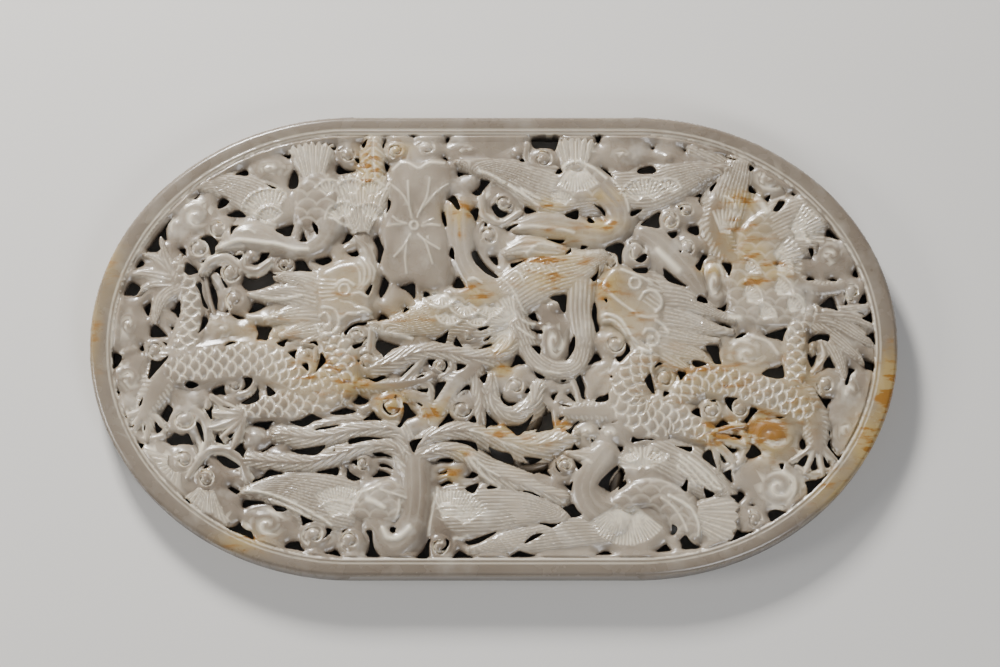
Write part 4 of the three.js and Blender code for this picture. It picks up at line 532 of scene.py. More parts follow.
# openings round the right dragon's coils
OPEN_COILS = [
    [6.6, 6.6, 8.3, 7.5, 8.5, 6.2, 9.1, 5.3, 7.8, 5.7], [7, 3.9, 8.5, 3.7, 9.8, 3.7, 9.9, 2.7, 8.6, 3],
    [7.3, 0.4, 9.5, 0.4, 9.3, -1.8, 8.4, -0.9],
    [16.1, 2.6, 16.4, 1.5, 16.2, -0.4, 15, -2.2, 13.8, -3.1, 15, -1.6, 15, 0.5],
    [20.1, 9.6, 20.7, 8, 20.6, 5.5, 21.3, 3.8, 20.5, 2.9, 20.1, 4.8, 19.5, 6.8],
    [4.4, -1.2, 4.9, -1.2, 6.7, -3.4, 5, -3.2, 3.3, -4.1, 4, -2.6],
    [20.3, -0.6, 21.8, -2.4, 20.3, -2.8, 18.5, -3.8, 19.6, -2.1],
    [7.8, -4.6, 9.2, -5.3, 10.5, -6, 9.1, -6.5, 8.5, -5.6], [13, -6.6, 14.9, -6.4, 13.9, -7.1],
    [23.2, -5.8, 23.8, -5.8, 23.5, -6.4],
    [26.1, 1.6, 27.6, -0.4, 26.4, -1.9, 25.1, -3.3, 24.2, -1.8, 25.5, -1.7, 26.4, -0.5, 26.5, 0.6],
    [33, -3, 34, -3.4, 32.9, -3.6, 32, -4.5, 32.3, -3.6],
    [31.2, -5.1, 31.6, -6.3, 32.3, -9.9, 30.8, -8.3, 30, -6.8, 30.6, -5.8],
    [34, -8.7, 35.3, -9.2, 33.8, -10.3, 33.8, -9.5], [36.5, -4.6, 38.8, -5.1, 37.2, -7, 37, -5.8],
    [39.4, -2.6, 41.2, -2.6, 43, -3.5, 40.2, -4.3],
    [42, 0.5, 45.1, 0.8, 45.1, -2.1, 45.7, -3.5, 44, -3.5, 43.4, -1.4],
    [44.8, 4.6, 45.9, 5, 47.6, 4.1, 46, 4.3], [48.1, 1.9, 49.6, 3.1, 50.8, 3, 49.6, 2],
    [54.1, 2.7, 56.5, 3.6, 59, 4.2, 58.1, 2.6, 57.8, 1.1, 56.9, 1.9, 55, 2.1],
    [53.2, -5.5, 54.9, -4.1, 56.9, -3.9, 57.8, -3.2, 58.2, -6.1, 56.8, -6.5, 54.8, -6.2],
    [42.9, -10.9, 44.2, -10.4, 44.4, -11.2],
    [45.7, -9.9, 49, -10.3, 47.8, -10.9, 47.4, -12, 47.8, -13.3, 46.8, -12.4],
    [39.1, -13.4, 40, -12.4, 41, -12.1, 41.1, -13.4, 41.5, -14.4],
    [45.6, -14.4, 46.5, -15, 47.3, -15.6, 45.8, -15.9, 44.7, -16.4, 44, -16.1, 44.9, -15.2],
    [51.2, -11.8, 52.9, -12.6, 51.4, -14, 50.5, -15.4, 50.2, -14.9, 49.7, -14.8, 50.9, -13.5],
]
# openings round the plumes and clouds at the lower left
OPEN_LOW_LEFT = [
    [-27.1, -9.3, -26.3, -9.9, -24.7, -10.6, -25.5, -11.3, -27, -11.5, -28.3, -11.1, -27.4, -10.2],
    [-22, -11, -21.8, -11.9, -21.2, -13, -20.5, -13.4, -20, -13.3, -20.6, -13.7, -21.6, -13.2, -22.2, -12],
    [-18.2, -11.1, -17.2, -11.3, -16.4, -12.7, -15.2, -13.7, -17.5, -14.4, -18.4, -16.5, -19.4, -16.1,
      -18.6, -15.2, -17.9, -13.2, -17.9, -12],
    [-15.9, -10.8, -14.1, -11.6, -14.3, -12.2],
    [-24, -12.7, -23.3, -13.9, -22, -14.9, -24, -14.7, -26.3, -14.9, -24.8, -13.7],
    [-29.7, -12, -27.2, -12.8, -28.6, -13.4, -30.3, -13.8, -32.9, -13.4, -31, -12.6],
    [-36.4, -13.2, -35.2, -13.9, -33.9, -14.4, -35.8, -14.9, -37.5, -16.1, -38.2, -16.2, -39.9, -15.4,
      -40.8, -15, -38.5, -14.6],
    [-30, -15.6, -31.5, -16.2, -33.7, -16.7, -36, -16.9, -34.5, -16.1],
    [-43.5, -14.8, -44.4, -15.4, -45.2, -16.8, -46, -16, -48.2, -15.5, -47, -14.9],
    [-54.1, -11.9, -53, -12.1, -51.5, -12.5, -53, -12.4],
    [-56.1, -11.4, -56.1, -14.5, -56.4, -14.6, -57, -13.5, -57.9, -12.2, -56.9, -12.7],
    [-65, -11.2, -63.7, -12.6, -64.5, -14, -64.9, -15.4, -66.5, -13.7, -65.7, -12.3],
    [-74.5, -13.7, -72.8, -14, -74.1, -15.1], [-72.6, -16.1, -71.4, -15.7, -71.8, -16.3],
    [-69.5, -15.2, -69.2, -16.9, -69.7, -16.9],
    [-67.7, -15, -67.1, -15.2, -66.7, -15.9, -65.7, -16.7, -67.2, -17.4],
    [-59.5, -14.8, -58.6, -15.2, -57.8, -17, -57.5, -19.6, -58.3, -18.3, -59, -16.5],
    [-55.3, -17, -54.4, -18.4, -53.6, -19.5, -55.5, -19.3], [-53.1, -17.8, -51.4, -17.1, -52.5, -18.6],
    [-63.7, -17, -62.3, -17.7, -60.8, -17.1, -60.2, -18.7, -59.7, -19.7, -62, -19.3, -64, -19.9, -65.5,
      -18.5, -64.4, -17.9],
    [-73, -18.2, -71.4, -19.1, -69.3, -19.5, -70.2, -20.8, -70.1, -23, -69.8, -23.7, -71.2, -21.8],
    [-50.2, -18.9, -49.8, -20.4, -49.2, -20.7, -49.7, -22, -49.5, -22.5, -50.2, -22, -50.5, -21.4, -51.8,
      -20.7],
    [-55.6, -21.6, -53.7, -21.7, -51.5, -23, -50, -24.3, -52.3, -24.4, -54, -23.6],
    [-57.2, -23.5, -56.5, -24.1, -57.8, -24.7],
    [-44.3, -19.5, -43.5, -19.7, -44.6, -20.1, -45.8, -21.2, -46.4, -20.9, -45.1, -20.4],
    [-40.6, -20.6, -36, -20.1, -33, -19.5, -34.8, -21.7, -36, -21.9, -38.8, -21.6],
    [-31.3, -20.3, -31.6, -21.1, -32, -21.1],
    [-47.8, -26.6, -46, -26.2, -44.8, -24.4, -43.2, -24.9, -41.3, -25.5, -44.4, -26, -48, -27.5],
    [-35.8, -25.3, -33.4, -24.6, -30.8, -23.8, -30.8, -26, -32.5, -25.6],
]
# openings between the tail plumes of the bottom bird
OPEN_PLUMES = [
    [-29.1, -24, -28.6, -25.2, -26.1, -26.5, -27.8, -27, -29.3, -26.4],
    [-28.5, -22.9, -27, -22.5, -27.2, -23.3, -27, -24.2],
    [-29, -18.5, -26.6, -18, -24, -18.1, -21.4, -18.5, -24, -18.7, -27, -19.3, -28.9, -19.8],
    [-24.3, -21.3, -22.5, -21, -20.6, -21.8, -19.7, -22.4, -21.4, -21.9, -23.4, -22],
    [-22.6, -23.2, -21, -23.5, -19.9, -24.6, -21.2, -24.1, -22.7, -24],
    [-22.9, -24.5, -21.4, -25, -20.3, -25.8, -22, -26, -24.3, -26.1, -23.2, -25.3],
    [-17, -18.9, -13.9, -18.3, -15, -19.6, -15.7, -21.4, -16.1, -21.3],
    [-9, -13, -8.5, -14, -7.7, -14.8, -9.3, -15.3, -11, -16.4, -11.1, -16, -9.8, -14.4],
    [-3.9, -13.4, -3.2, -15.4, -5.1, -15],
    [-1.7, -12.2, -1.3, -13.4, -0.4, -14.2, 1.2, -15.6, -0.9, -15.7, -1.3, -16.5, -1.7, -16.2, -1.4, -15],
    [-9.2, -18.9, -7.6, -18.6, -5.5, -18.7, -3.5, -19.1, -3.4, -19.6, -3, -21.3, -4.4, -20.1, -6.6, -19.2],
    [-11.5, -23.2, -10.6, -22.4, -9.3, -22.2, -7.5, -22.7, -8.8, -23.1, -10.5, -22.9],
    [-11, -25.5, -9.3, -24.9, -9.5, -25.3],
    [-10.7, -27.6, -9.3, -26.8, -8.8, -26.8, -7.9, -27.5, -8.8, -27.4, -10.3, -28],
    [-4.4, -24.8, -2.8, -25.8, -4, -26.3, -5.8, -26.2, -4.9, -25.9],
    [-6.1, -28.4, -2.6, -27, -3.7, -29.4, -4.5, -29.5], [-0.8, -27.6, 1.2, -28.5, -1.7, -28.7],
    [-1.4, -19.7, 1, -20.8, 3.4, -21.2, 4.2, -23, 2, -22.7, 0, -21.9],
    [5.7, -21.8, 10, -22.3, 8.8, -23, 7.5, -23.3, 6.5, -22.8],
    [10.4, -23.8, 10.7, -24.9, 11.5, -26, 10.2, -25.5, 9, -25.3, 10, -24.7],
    [13.1, -22.2, 12.5, -22.8, 12.5, -24.2, 13.6, -25.4, 12.8, -25.1, 12.2, -24, 12.3, -22.9],
    [1.6, -9.2, 1.8, -10.2, 2.8, -11, 4.7, -11, 4, -11.8, 3, -12, 1.9, -11.4, 1.3, -10],
    [6.7, -8, 7.5, -8.7, 6.4, -9.4, 6.1, -9.1], [11.3, -9.5, 12.8, -9, 12.3, -9.8, 11.9, -10.8],
    [14.5, -9.5, 15.3, -8.9, 15.8, -9.6, 16.6, -11.1, 15.3, -10.2],
    [16.2, -6.2, 17.4, -5.2, 17.6, -6.5, 18.3, -7.8, 18, -9.7, 18.4, -10.4, 17.5, -10.3, 17.1, -8.5],
    [20, -11, 20.9, -9.8, 22, -9.8, 22.9, -9.2, 23, -10.9, 21.1, -11.2],
    [13.3, -11.6, 14, -11.4, 15.8, -12.1, 14.2, -12], [12.9, -14, 14.4, -13.9, 13.2, -14.8],
    [8, -13.3, 7.6, -14.4, 6, -17, 4.7, -18.2, 3.6, -16.8, 2.3, -15.7, 5, -15.6, 6.4, -14.8],
    [9.9, -13, 11.5, -12.6, 11.6, -14.5, 12.1, -16.5, 10.5, -16.7, 8, -17.3, 9, -15.9, 9.7, -14.4],
    [17.5, -14.6, 16.2, -15.7, 15.4, -17.7, 15.1, -17.6, 14.1, -16.8, 15.3, -16.4, 16.4, -15],
    [20.8, -16.2, 21.1, -16.8, 21.6, -16.2], [23.4, -15.2, 24.5, -15, 24.3, -15.3],
    [19.3, -18.2, 20, -18.7, 19.5, -19.2],
    [16, -19.2, 16.7, -20.3, 17.9, -20.7, 16.8, -20.7, 15.3, -20.9, 15.7, -20.2],
    [15.8, -22.6, 17, -23.3, 17.8, -23.8, 16.8, -25, 16.5, -24],
    [15.8, -26.9, 15.6, -28, 15.4, -29.1, 15.1, -28.9, 14, -27.6, 15, -27.8],
    [24.5, -19.7, 25.9, -20, 25.3, -21.3],
    [24.7, -23.5, 24.9, -24.3, 24.2, -24.9, 23, -26.7, 22.9, -29, 22, -28.3, 20.7, -28, 21, -27, 23, -24.9],
    [26.1, -26.4, 26.6, -27.5, 24.6, -29, 25, -27.7],
]
# openings round the lower right crane, the claws and the clouds
OPEN_LOW_RIGHT = [
    [27.6, -17.9, 28.6, -18.5, 31.5, -18.5, 32.2, -18.9, 30, -18.7, 28.7, -19.1, 27.3, -19.3],
    [35.8, -20, 39.6, -20, 39.5, -21, 39, -21.3, 37.5, -20.6],
    [46.3, -18, 48, -17.6, 49.3, -17.8, 49.3, -18.3, 48, -18.1],
    [45.3, -19.3, 47, -20.1, 48.5, -20.4, 47.8, -21.3, 46.9, -21],
    [42.6, -20.5, 43.3, -20.8, 43.8, -22.7, 44.5, -24.8, 43, -23.6, 41.3, -22.4, 41.8, -21.2],
    [44.8, -20.9, 46.3, -22.9, 45.9, -23.3, 45.4, -22.7],
    [51.3, -19.4, 52, -19.6, 53, -20.6, 53.5, -21.6, 51.2, -22.4, 49.8, -22.1, 51, -20.5],
    [45.5, -25.4, 46.4, -24.7, 47.3, -24.6, 47.2, -25.8, 47.6, -27.5],
    [38.3, -26.5, 38.6, -27.2, 38.5, -28, 38.3, -29.3, 37, -28.4, 37.9, -27.4],
    [41.6, -28.2, 42.6, -28.8, 44.2, -29.6, 42.4, -30.6, 41.8, -29.4],
    [46.6, -29.9, 48.5, -29.6, 48.7, -28.7, 49.7, -29.3, 49.9, -30, 48.5, -31.3],
    [50.9, -31.8, 51.3, -31.5, 52.1, -31.9], [55.9, -14, 57.1, -14.5, 58.2, -14.1, 57.2, -14.1],
    [64.2, -8.9, 65.4, -10.2, 67.5, -10.2, 66.8, -11.2, 66.4, -12.6, 65.8, -11.6],
    [61.4, -18.2, 61.9, -18.6, 62.3, -20.1, 61.4, -21, 60.7, -19.5],
    [62.1, -21.6, 62.6, -21.9, 61.7, -24.3, 60.1, -23.4], [64, -21.8, 64.3, -24.8, 62.7, -24.6, 63.5, -23],
    [65.4, -21.7, 66.2, -22.9, 67.1, -24.1, 65.7, -24.5], [66.6, -16.6, 67.1, -17.1, 66.7, -18.2],
    [67.1, -18.4, 66.9, -19.6, 67.6, -20.9, 68.6, -22, 69.5, -21.9, 69.6, -22.7, 68.9, -23.3, 67.5, -21.6,
      66.3, -20, 66.6, -18.9],
    [61.7, -26.9, 64, -26.7, 66.6, -25.7, 66.5, -26.3, 64.5, -28.3, 62.4, -30.2, 62.3, -28.3],
    [56.7, -23.4, 57.8, -23.4, 57.6, -24.2, 57.3, -24.9, 56.9, -24.3],
]
# openings along the bottom of the rim
OPEN_BOTTOM = [
    [4.3, -28.9, 7.2, -29, 10.7, -30.8, 8.2, -29.9, 6.6, -29.3],
    [13.4, -32.4, 15, -31.6, 15.9, -31.4, 16.5, -32.7, 17.7, -33.8, 16.4, -34.2, 15.4, -34.4, 14.6, -33.3],
    [8.6, -35.4, 10.5, -35.4, 12, -35.6, 13.5, -35.3, 12.2, -36.1, 11.5, -36.5, 10.6, -36],
    [10.2, -37.4, 8, -37.6, 6.8, -38.5, 5.9, -39.7, 8, -38.8],
    [5, -40.8, 6.5, -41.3, 8.6, -41.9, 6, -42.1, 3.2, -42.1, 4.1, -41.4],
    [-5.9, -39, -4.6, -38.8, -2.3, -37.9, 1.3, -36.8, -2, -39, -3.3, -39.6, -4.8, -39.7],
    [-6.8, -40.7, -5.5, -41.5, -4, -42.3, -6, -42.3, -8.2, -42.4, -7.4, -41.3],
    [-9.7, -38.5, -8.8, -38.8, -8.8, -39.9, -9.9, -41, -10.5, -40.9, -9.5, -40, -9.3, -39.2],
    [-12.9, -38.4, -12.4, -38.6, -12.8, -39.8, -12.7, -42.5, -15.6, -42.4, -14, -40.7, -13.3, -39.3],
    [-20.5, -36.2, -19.3, -36.2, -19.5, -37.4, -20, -37.5, -20.6, -37.1],
    [-25.5, -36.9, -24, -36.8, -24, -38.5, -23.6, -40.7, -22.2, -42.2, -25.5, -42.1, -24.7, -40.5, -24.5,
      -38.5],
    [-30, -36.9, -28.7, -36.6, -29.5, -37, -29.9, -37.6],
    [-33.3, -36.2, -31.9, -36.6, -32.5, -37.7, -34, -38.8, -33, -37.5],
    [-33.6, -41.3, -32.3, -41.1, -31.3, -40.4, -30.1, -42.1, -31.7, -41.7],
    [-38.4, -33.7, -37.2, -34.3, -35.4, -35.1, -37, -35.4, -37.8, -36, -38, -34.9],
    [-44.1, -31.9, -43.4, -31.7, -41.6, -32.1, -40.7, -32.8, -42.9, -33.3],
    [-49.7, -30.5, -47, -30.8, -45.7, -31, -45.3, -31.4, -47.5, -31.5, -49.5, -32.5, -49.9, -31.9],
    [-50.4, -34.9, -49.9, -36.1, -48.9, -36.7, -47.9, -37, -47.4, -38.8, -50, -37.5, -53.4, -36.5, -51.4,
      -36],
    [-40.7, -39, -38.5, -38.8, -38.3, -39.9, -37.3, -41, -39.5, -40.6, -41.6, -40.3],
    [-52.3, -27.8, -51.6, -28.2, -50, -29.1, -51, -29.6, -52.8, -28.4],
    [-64.3, -30, -62.5, -30.6, -60.5, -30.5, -60, -32, -58.5, -33.7, -60, -33.1, -62, -31.6],
    [54.3, -33, 56, -32.5, 58.3, -33.2, 56.5, -34.3, 54.9, -35.3],
    [48.3, -36.4, 49.2, -37.2, 51.9, -37.2, 50.2, -38, 46.8, -39.2, 47.8, -37.8],
    [38, -37.5, 39, -39.1, 41.5, -40.3, 37.3, -40.7, 37.3, -39.5, 36.8, -38.7],
    [35.3, -35.5, 36.2, -36, 36.5, -36.7, 35.9, -37.7, 35.1, -37.6, 35.3, -36.7],
    [34.1, -39.3, 34.6, -40, 35.3, -40.9, 32, -41.1, 33, -40.2],
    [22.3, -40.7, 23.6, -41.6, 21.8, -41.6, 20, -41.8],
]
# raised lines: a rise, a width and a path
RIDGES = [
    # left dragon's head, whisker and bright edges of the mane
    [0.22, 0.3, [-31.6, 12.4, -30.6, 13.3, -29.2, 13.4, -28, 12.6]],
    [0.16, 0.26, [-28, 16.8, -26.9, 15.2, -26.8, 13.2]],
    [0.16, 0.26, [-27, 17.6, -25.9, 15.8, -26, 13.4, -27.2, 11.9]],
    [0.16, 0.26, [-26, 17.9, -24.9, 16, -24.9, 13.8, -26.6, 11.8]],
    [0.16, 0.26, [-25, 17.4, -23.9, 15.6, -24.2, 13.6]],
    [0.2, 0.26, [-27.6, 6.6, -26.2, 7.1, -24.9, 6.7, -24.2, 6]],
    [0.2, 0.26, [-27.2, 7.9, -25.8, 7.8, -24.5, 7.1]], [0.2, 0.3, [-28.4, 10.6, -26.8, 10.9, -25.4, 10.2]],
    [0.18, 0.3, [-30.8, 5.6, -29.4, 6.6, -28, 6.7]],
    [0.2, 0.28, [-35.4, 4.2, -34.6, 2.9, -33.4, 2.5, -31.8, 3, -31, 4.6, -31.2, 6.6, -32.4, 7.8, -34.4, 8]],
    [0.2, 0.26, [-34.8, 6.3, -33.6, 6.8, -32.7, 5.6, -33.2, 4.4, -34.3, 4.6]],
    [0.2, 0.34, [-49, 10.6, -45, 9.8, -42, 9.7, -38.4, 10.4]],
    [0.2, 0.34, [-49.2, 6.5, -47, 6.2, -44.4, 6, -42, 7]],
    # right dragon's head, lips, ear and cheek
    [0.2, 0.28, [21.8, 12.5, 23.4, 10.7, 25.4, 8.9, 28.4, 6.8]],
    [0.3, 0.34, [21.6, 6.3, 23.4, 6.4, 25, 5.7, 26.4, 4, 27.8, 1.5, 29.4, -0.4, 31.4, -1.2]],
    [0.24, 0.28, [21.8, 5.3, 23.8, 5.3, 25.2, 4.2, 26.4, 2.4]],
    [0.2, 0.3, [25.6, 15.8, 27.6, 15, 30, 14, 31.6, 12.8]],
    [0.2, 0.28, [29.2, 9.6, 30.2, 11.1, 32, 11.3, 33.4, 10, 33.5, 8.2, 32.4, 7]],
    [0.22, 0.28, [29.8, 2.6, 30.6, 3.5, 32, 3.4, 33, 2.2, 32.8, 0.9, 31.8, 0.2, 30.7, 0.9, 31, 2, 31.8,
      1.9]],
    [0.24, 0.32, [32.4, 5.4, 33.8, 4.4, 34.9, 2.9]], [0.16, 0.3, [28.6, 6.4, 31, 5.9, 32.6, 6.1]],
    # lotus leaf: a ring and the veins that leave it
    [0.16, 0.22, [-15.2, 23, -13.6, 21.6, -11, 20]], [0.14, 0.2, [-13.9, 21.9, -13, 19.4, -12.3, 17]],
    [0.16, 0.22, [-16.8, 23, -17.8, 21, -20, 18.4]], [0.14, 0.2, [-17.5, 21.4, -17.8, 18.4, -17.5, 15]],
    [0.16, 0.22, [-17.4, 25.1, -19.2, 25.7, -20.3, 26.6]],
    [0.14, 0.2, [-17.6, 25.1, -20.2, 24.9, -21.6, 24.5]],
    [0.16, 0.22, [-16.5, 26.4, -17, 28.6, -18.4, 31.2, -20.8, 33.4]],
    [0.14, 0.2, [-17, 28.8, -17.2, 31, -17.3, 34]],
    [0.16, 0.22, [-15.4, 26.6, -14.4, 28.8, -13.4, 31, -12.9, 34.6]],
    [0.16, 0.22, [-15.1, 27.4, -13.4, 29.6, -11.2, 32, -9.2, 33.4]],
    [0.14, 0.22, [-14.4, 24.8, -12.6, 25, -10.9, 24.8]], [0.14, 0.2, [-14.2, 25.3, -12.2, 26.2]],
    [0.2, 0.3, [-20.4, 36.6, -18.4, 38, -16.6, 37.4, -15, 36.6, -13, 37.8, -10, 37.8]],
    # crane at the top left: the ridge of its neck and head, its wing's lower edge
    [0.3, 0.42, [-54.6, 20.5, -52, 21.6, -50, 21.7, -46, 21.2, -43, 20.8, -40, 19.9, -37.4, 19.8]],
    [0.18, 0.26, [-50.6, 23.6, -49.2, 23.9, -48, 23.3]], [0.22, 0.3, [-48.2, 27.4, -46.2, 25.7, -44, 25.1]],
    [0.24, 0.32, [-32, 26.2, -30.8, 25.2, -29.4, 24.8]],
    # phoenix: shoulder, lower edge of the wing, barbs
    [0.2, 0.28, [0, 14.6, 2.2, 13.4, 3.8, 11.6, 4.8, 9.6, 5.8, 7.6, 6.8, 6.5]],
    [0.26, 0.3, [5.8, 5.4, 7, 4.8, 8, 4.7]], [0.26, 0.28, [5, 3.8, 6.4, 2.7, 8, 1.9]],
    [0.24, 0.36, [-24.6, 4, -22.6, 3, -20, 2.6, -16.4, 1.8]], [0.22, 0.3, [-5, 13.6, -3.8, 13.9, -2.4, 13.1]],
    [0.24, 0.28, [4.4, 15.4, 5.4, 14.8, 5.9, 13.6]], [0.2, 0.3, [8.4, -4.3, 10.4, -5.1, 13, -5.4]],
    # crane at the top right: beak, lower edge of the wing, back, neck
    [0.3, 0.34, [-2.8, 35.9, -1.2, 35.4, 0.4, 34.6, 2.2, 33.5]],
    [0.3, 0.34, [3, 33, 5, 31.8, 7, 30.4, 9, 28.7]], [0.24, 0.28, [5.6, 32.2, 7.4, 31.2, 9.2, 30.2]],
    [0.2, 0.34, [5.2, 24.2, 7.6, 24.6, 10.4, 24.3, 13, 24.1, 16, 23.3]],
    [0.3, 0.34, [14, 36.9, 15.6, 37.8, 17, 38, 19, 37.3, 20.8, 36.2, 22.6, 34.6]],
    [0.2, 0.26, [23.8, 34.4, 25.4, 32.4, 26.7, 30, 27.2, 27.8]],
    [0.2, 0.32, [6.6, 19.2, 9, 20.9, 12.4, 20.4]],
    # large bird at the right: shoulder, bright folds
    [0.3, 0.6, [53.2, 30.2, 54.2, 29.4, 55, 27.6]], [0.2, 0.28, [46.4, 30.8, 48, 29.9, 48.8, 28.4]],
    [0.28, 0.4, [62, 23.9, 62.6, 22.6, 63.4, 21.4]], [0.24, 0.3, [60, 10.9, 61.6, 10, 62.3, 8.6, 62, 7]],
    [0.3, 0.6, [47.4, 6.2, 48.4, 5.8, 49.2, 5.9]], [0.3, 0.7, [33, 19.6, 35, 17.6, 37, 15.6]],
    # crane at the bottom right: neck band, back, far wing
    [0.14, 0.24, [27, -28.2, 28.6, -27.1, 30.6, -26.6, 32.6, -26.7, 34.6, -27.4, 36.2, -28.6]],
    [0.36, 0.34, [34.8, -30, 36.4, -30.9, 38, -31.8, 39.4, -33, 40.3, -34.8, 40.7, -36.6, 40.6, -38]],
    [0.2, 0.26, [33.2, -30.5, 34.8, -31.6, 36.4, -33.4, 37.6, -35.4, 38.2, -37]],
    [0.34, 0.3, [37, -22, 39, -23.6, 41.4, -25.7, 43.8, -28.4, 45, -28.8]],
    [0.3, 0.28, [36.8, -23, 39, -24.9, 41, -27.2, 42.8, -28.8]],
    [0.28, 0.26, [36.4, -24.2, 38.6, -26, 40, -27.8]], [0.3, 0.28, [38.8, -22.4, 42, -25, 44.8, -28]],
    [0.2, 0.3, [16.2, -22.1, 17.8, -22.5, 19.4, -23.4]],
    # bird at the bottom: wing's lower edge, crest, neck, foot
    [0.32, 0.3, [-49.4, -29, -46.6, -29.2, -43, -30.2, -39.6, -31.6, -36.6, -33.2, -34, -34.6, -32.2,
      -35.9]],
    [0.26, 0.28, [-44, -31, -40, -32.6, -36.4, -34.4]],
    [0.22, 0.28, [-28, -30.2, -26.4, -29.2, -24.4, -28.7, -22.4, -27.6]],
    [0.34, 0.5, [-25, -30.8, -23.4, -31.4, -21.8, -32.4]],
    [0.2, 0.26, [-22.4, -28.8, -20, -29.6, -17.4, -30.4]],
    [0.2, 0.28, [-18.7, -31, -18.8, -33, -19.6, -34.9]],
    [0.34, 0.5, [-21.9, -36.6, -21.1, -38.2, -19.7, -38.6, -18.3, -38, -16.6, -36.4]],
    [0.2, 0.3, [-7.8, -38.5, -6.4, -38.4, -5.2, -38]],
    [0.24, 0.3, [-5, -22.3, -3.6, -24.4, -1.6, -26.6, 1.2, -28.2]],
    [0.24, 0.28, [-4.4, -21.8, -2.4, -24, 1, -26.2]],
    [0.2, 0.28, [-4.4, -17, -1.6, -17.9, 2, -19.4, 5, -20.4]],
    # clouds with a bright edge
    [0.2, 0.34, [58, -25.4, 59.6, -26.6, 59.8, -29, 58.4, -31.2]],
    [0.2, 0.34, [51.8, 2.2, 54.8, 1.2, 56.8, -1.4]], [0.18, 0.3, [-62.2, 28.4, -60.8, 29.5, -58.6, 29.7]],
]
# cut lines: a depth, a width and a path
CUTS = [
    [0.16, 0.2, [-34.8, 13.9, -31.8, 13.7]], [0.16, 0.2, [-35, 13, -32, 12.9]],
    [0.16, 0.2, [-35, 12.1, -32, 12.1]], [0.16, 0.2, [-35, 11.2, -32, 11.3]],
    [0.16, 0.2, [-34.8, 10.4, -31.8, 10.6]], [0.16, 0.2, [-34.4, 9.5, -31.4, 9.9]],
    [0.18, 0.22, [-30.6, 9.4, -28.6, 9, -27.4, 8.2]], [0.2, 0.24, [-26.4, 5.7, -25.2, 5.9]],
    [0.16, 0.2, [31, 14, 33.2, 13.1]], [0.16, 0.2, [31, 13, 33.6, 12]],
    [0.16, 0.2, [30.8, 12.1, 33.2, 11.4]], [0.16, 0.2, [29.9, 9.4, 32.2, 7.7]],
    [0.16, 0.2, [30.5, 10.1, 32.9, 8.4]], [0.16, 0.2, [31.3, 10.7, 33, 9.3]],
    [0.24, 0.24, [-11.2, -28.2, -11.8, -31, -12.4, -34, -13, -37.8]],
    [0.22, 0.24, [-13.3, 22.6, -13.3, 22.4]], [0.2, 0.22, [6.6, 17.6, 7.6, 15.9]],
    [0.2, 0.22, [7.8, 17.7, 8.8, 16]], [0.2, 0.22, [9, 17.7, 10.2, 15.8]],
    [0.2, 0.22, [10.2, 17.5, 11.6, 15.6]], [0.2, 0.22, [11.4, 17.3, 12.6, 15.8]],
    [0.2, 0.22, [5.4, 17.1, 6.2, 15.6]], [0.16, 0.2, [15.4, 42, 15.4, 39]],
    [0.16, 0.2, [17, 42, 17.1, 38.8]], [0.16, 0.2, [18.7, 42, 18.9, 38.8]],
]
# lines that run out from one point: a place, two distances, two angles and how many
RAYS = [
    [-45, 26.2, 3.3, 5.9, 62, 168, 13], [-45, 25.6, 0.8, 2.8, 40, 160, 8], [4.6, 4.4, 1.6, 6, 100, 235, 18],
    [26.4, -31, 2, 8.6, 212, 322, 24], [29.4, -24.6, 0.8, 4.6, 20, 170, 13],
    [-30.2, -36.4, 3, 8.2, 62, 128, 16], [-8.8, -37.4, 3.4, 8.6, 32, 112, 18],
    [16.6, 38.4, 2.4, 6.4, 235, 310, 13], [30.6, 29, 2, 5.4, 40, 150, 12], [13, 27.6, 2.2, 4, 50, 110, 8],
    [46.2, 22, 1.6, 6, 60, 110, 7], [58.6, 22.4, 2, 7.6, -5, 62, 11], [55, 17.4, 2, 6.6, -20, 50, 9],
]
# eyes, rings and round feather ends: a place, a radius, two angles and how many lines each holds
SCALLOPS = [
    [-29.9, 11.6, 1.1, 0, 360, 0], [28.3, 12.9, 1.15, 0, 360, 0], [-16, 24.9, 0.8, 0, 360, 0],
    [-32.8, 30.6, 3.6, 75, 150, 5], [-28.7, 30.7, 3.7, 48, 135, 7], [-24.7, 30.4, 3.7, 32, 128, 7],
    [-30.2, 26, 3.7, 48, 178, 9], [-25.2, 26, 3.5, 12, 128, 8], [-45, 26.2, 6.2, 60, 168, 0],
    [-45, 25.8, 2.9, 35, 168, 0], [-10.6, 11.8, 3.8, 195, 322, 9], [-5.6, 9.4, 3.4, 190, 330, 9],
    [-0.8, 9, 3, 205, 340, 8], [-8.8, 7.2, 2.8, 200, 320, 6], [-3.2, 6.6, 2.5, 215, 335, 6],
    [49.6, 9.4, 4.2, -15, 78, 8], [52.8, 5.4, 3.8, 8, 82, 7], [55.6, 10.6, 4.4, -5, 72, 7],
    [58.4, 6.8, 3.9, 10, 84, 6], [55.8, 15.6, 4.2, -10, 62, 6], [50.4, 15, 3, 0, 88, 5],
    [30.6, 29, 5.6, 35, 155, 0], [35, 31.4, 3, 20, 120, 5], [27, -20.6, 2.6, 225, 330, 6],
    [32.4, -20.6, 2.8, 215, 330, 6], [-31, -36.4, 5.4, 60, 130, 0], [-9, -37.6, 5.6, 30, 112, 0],
]
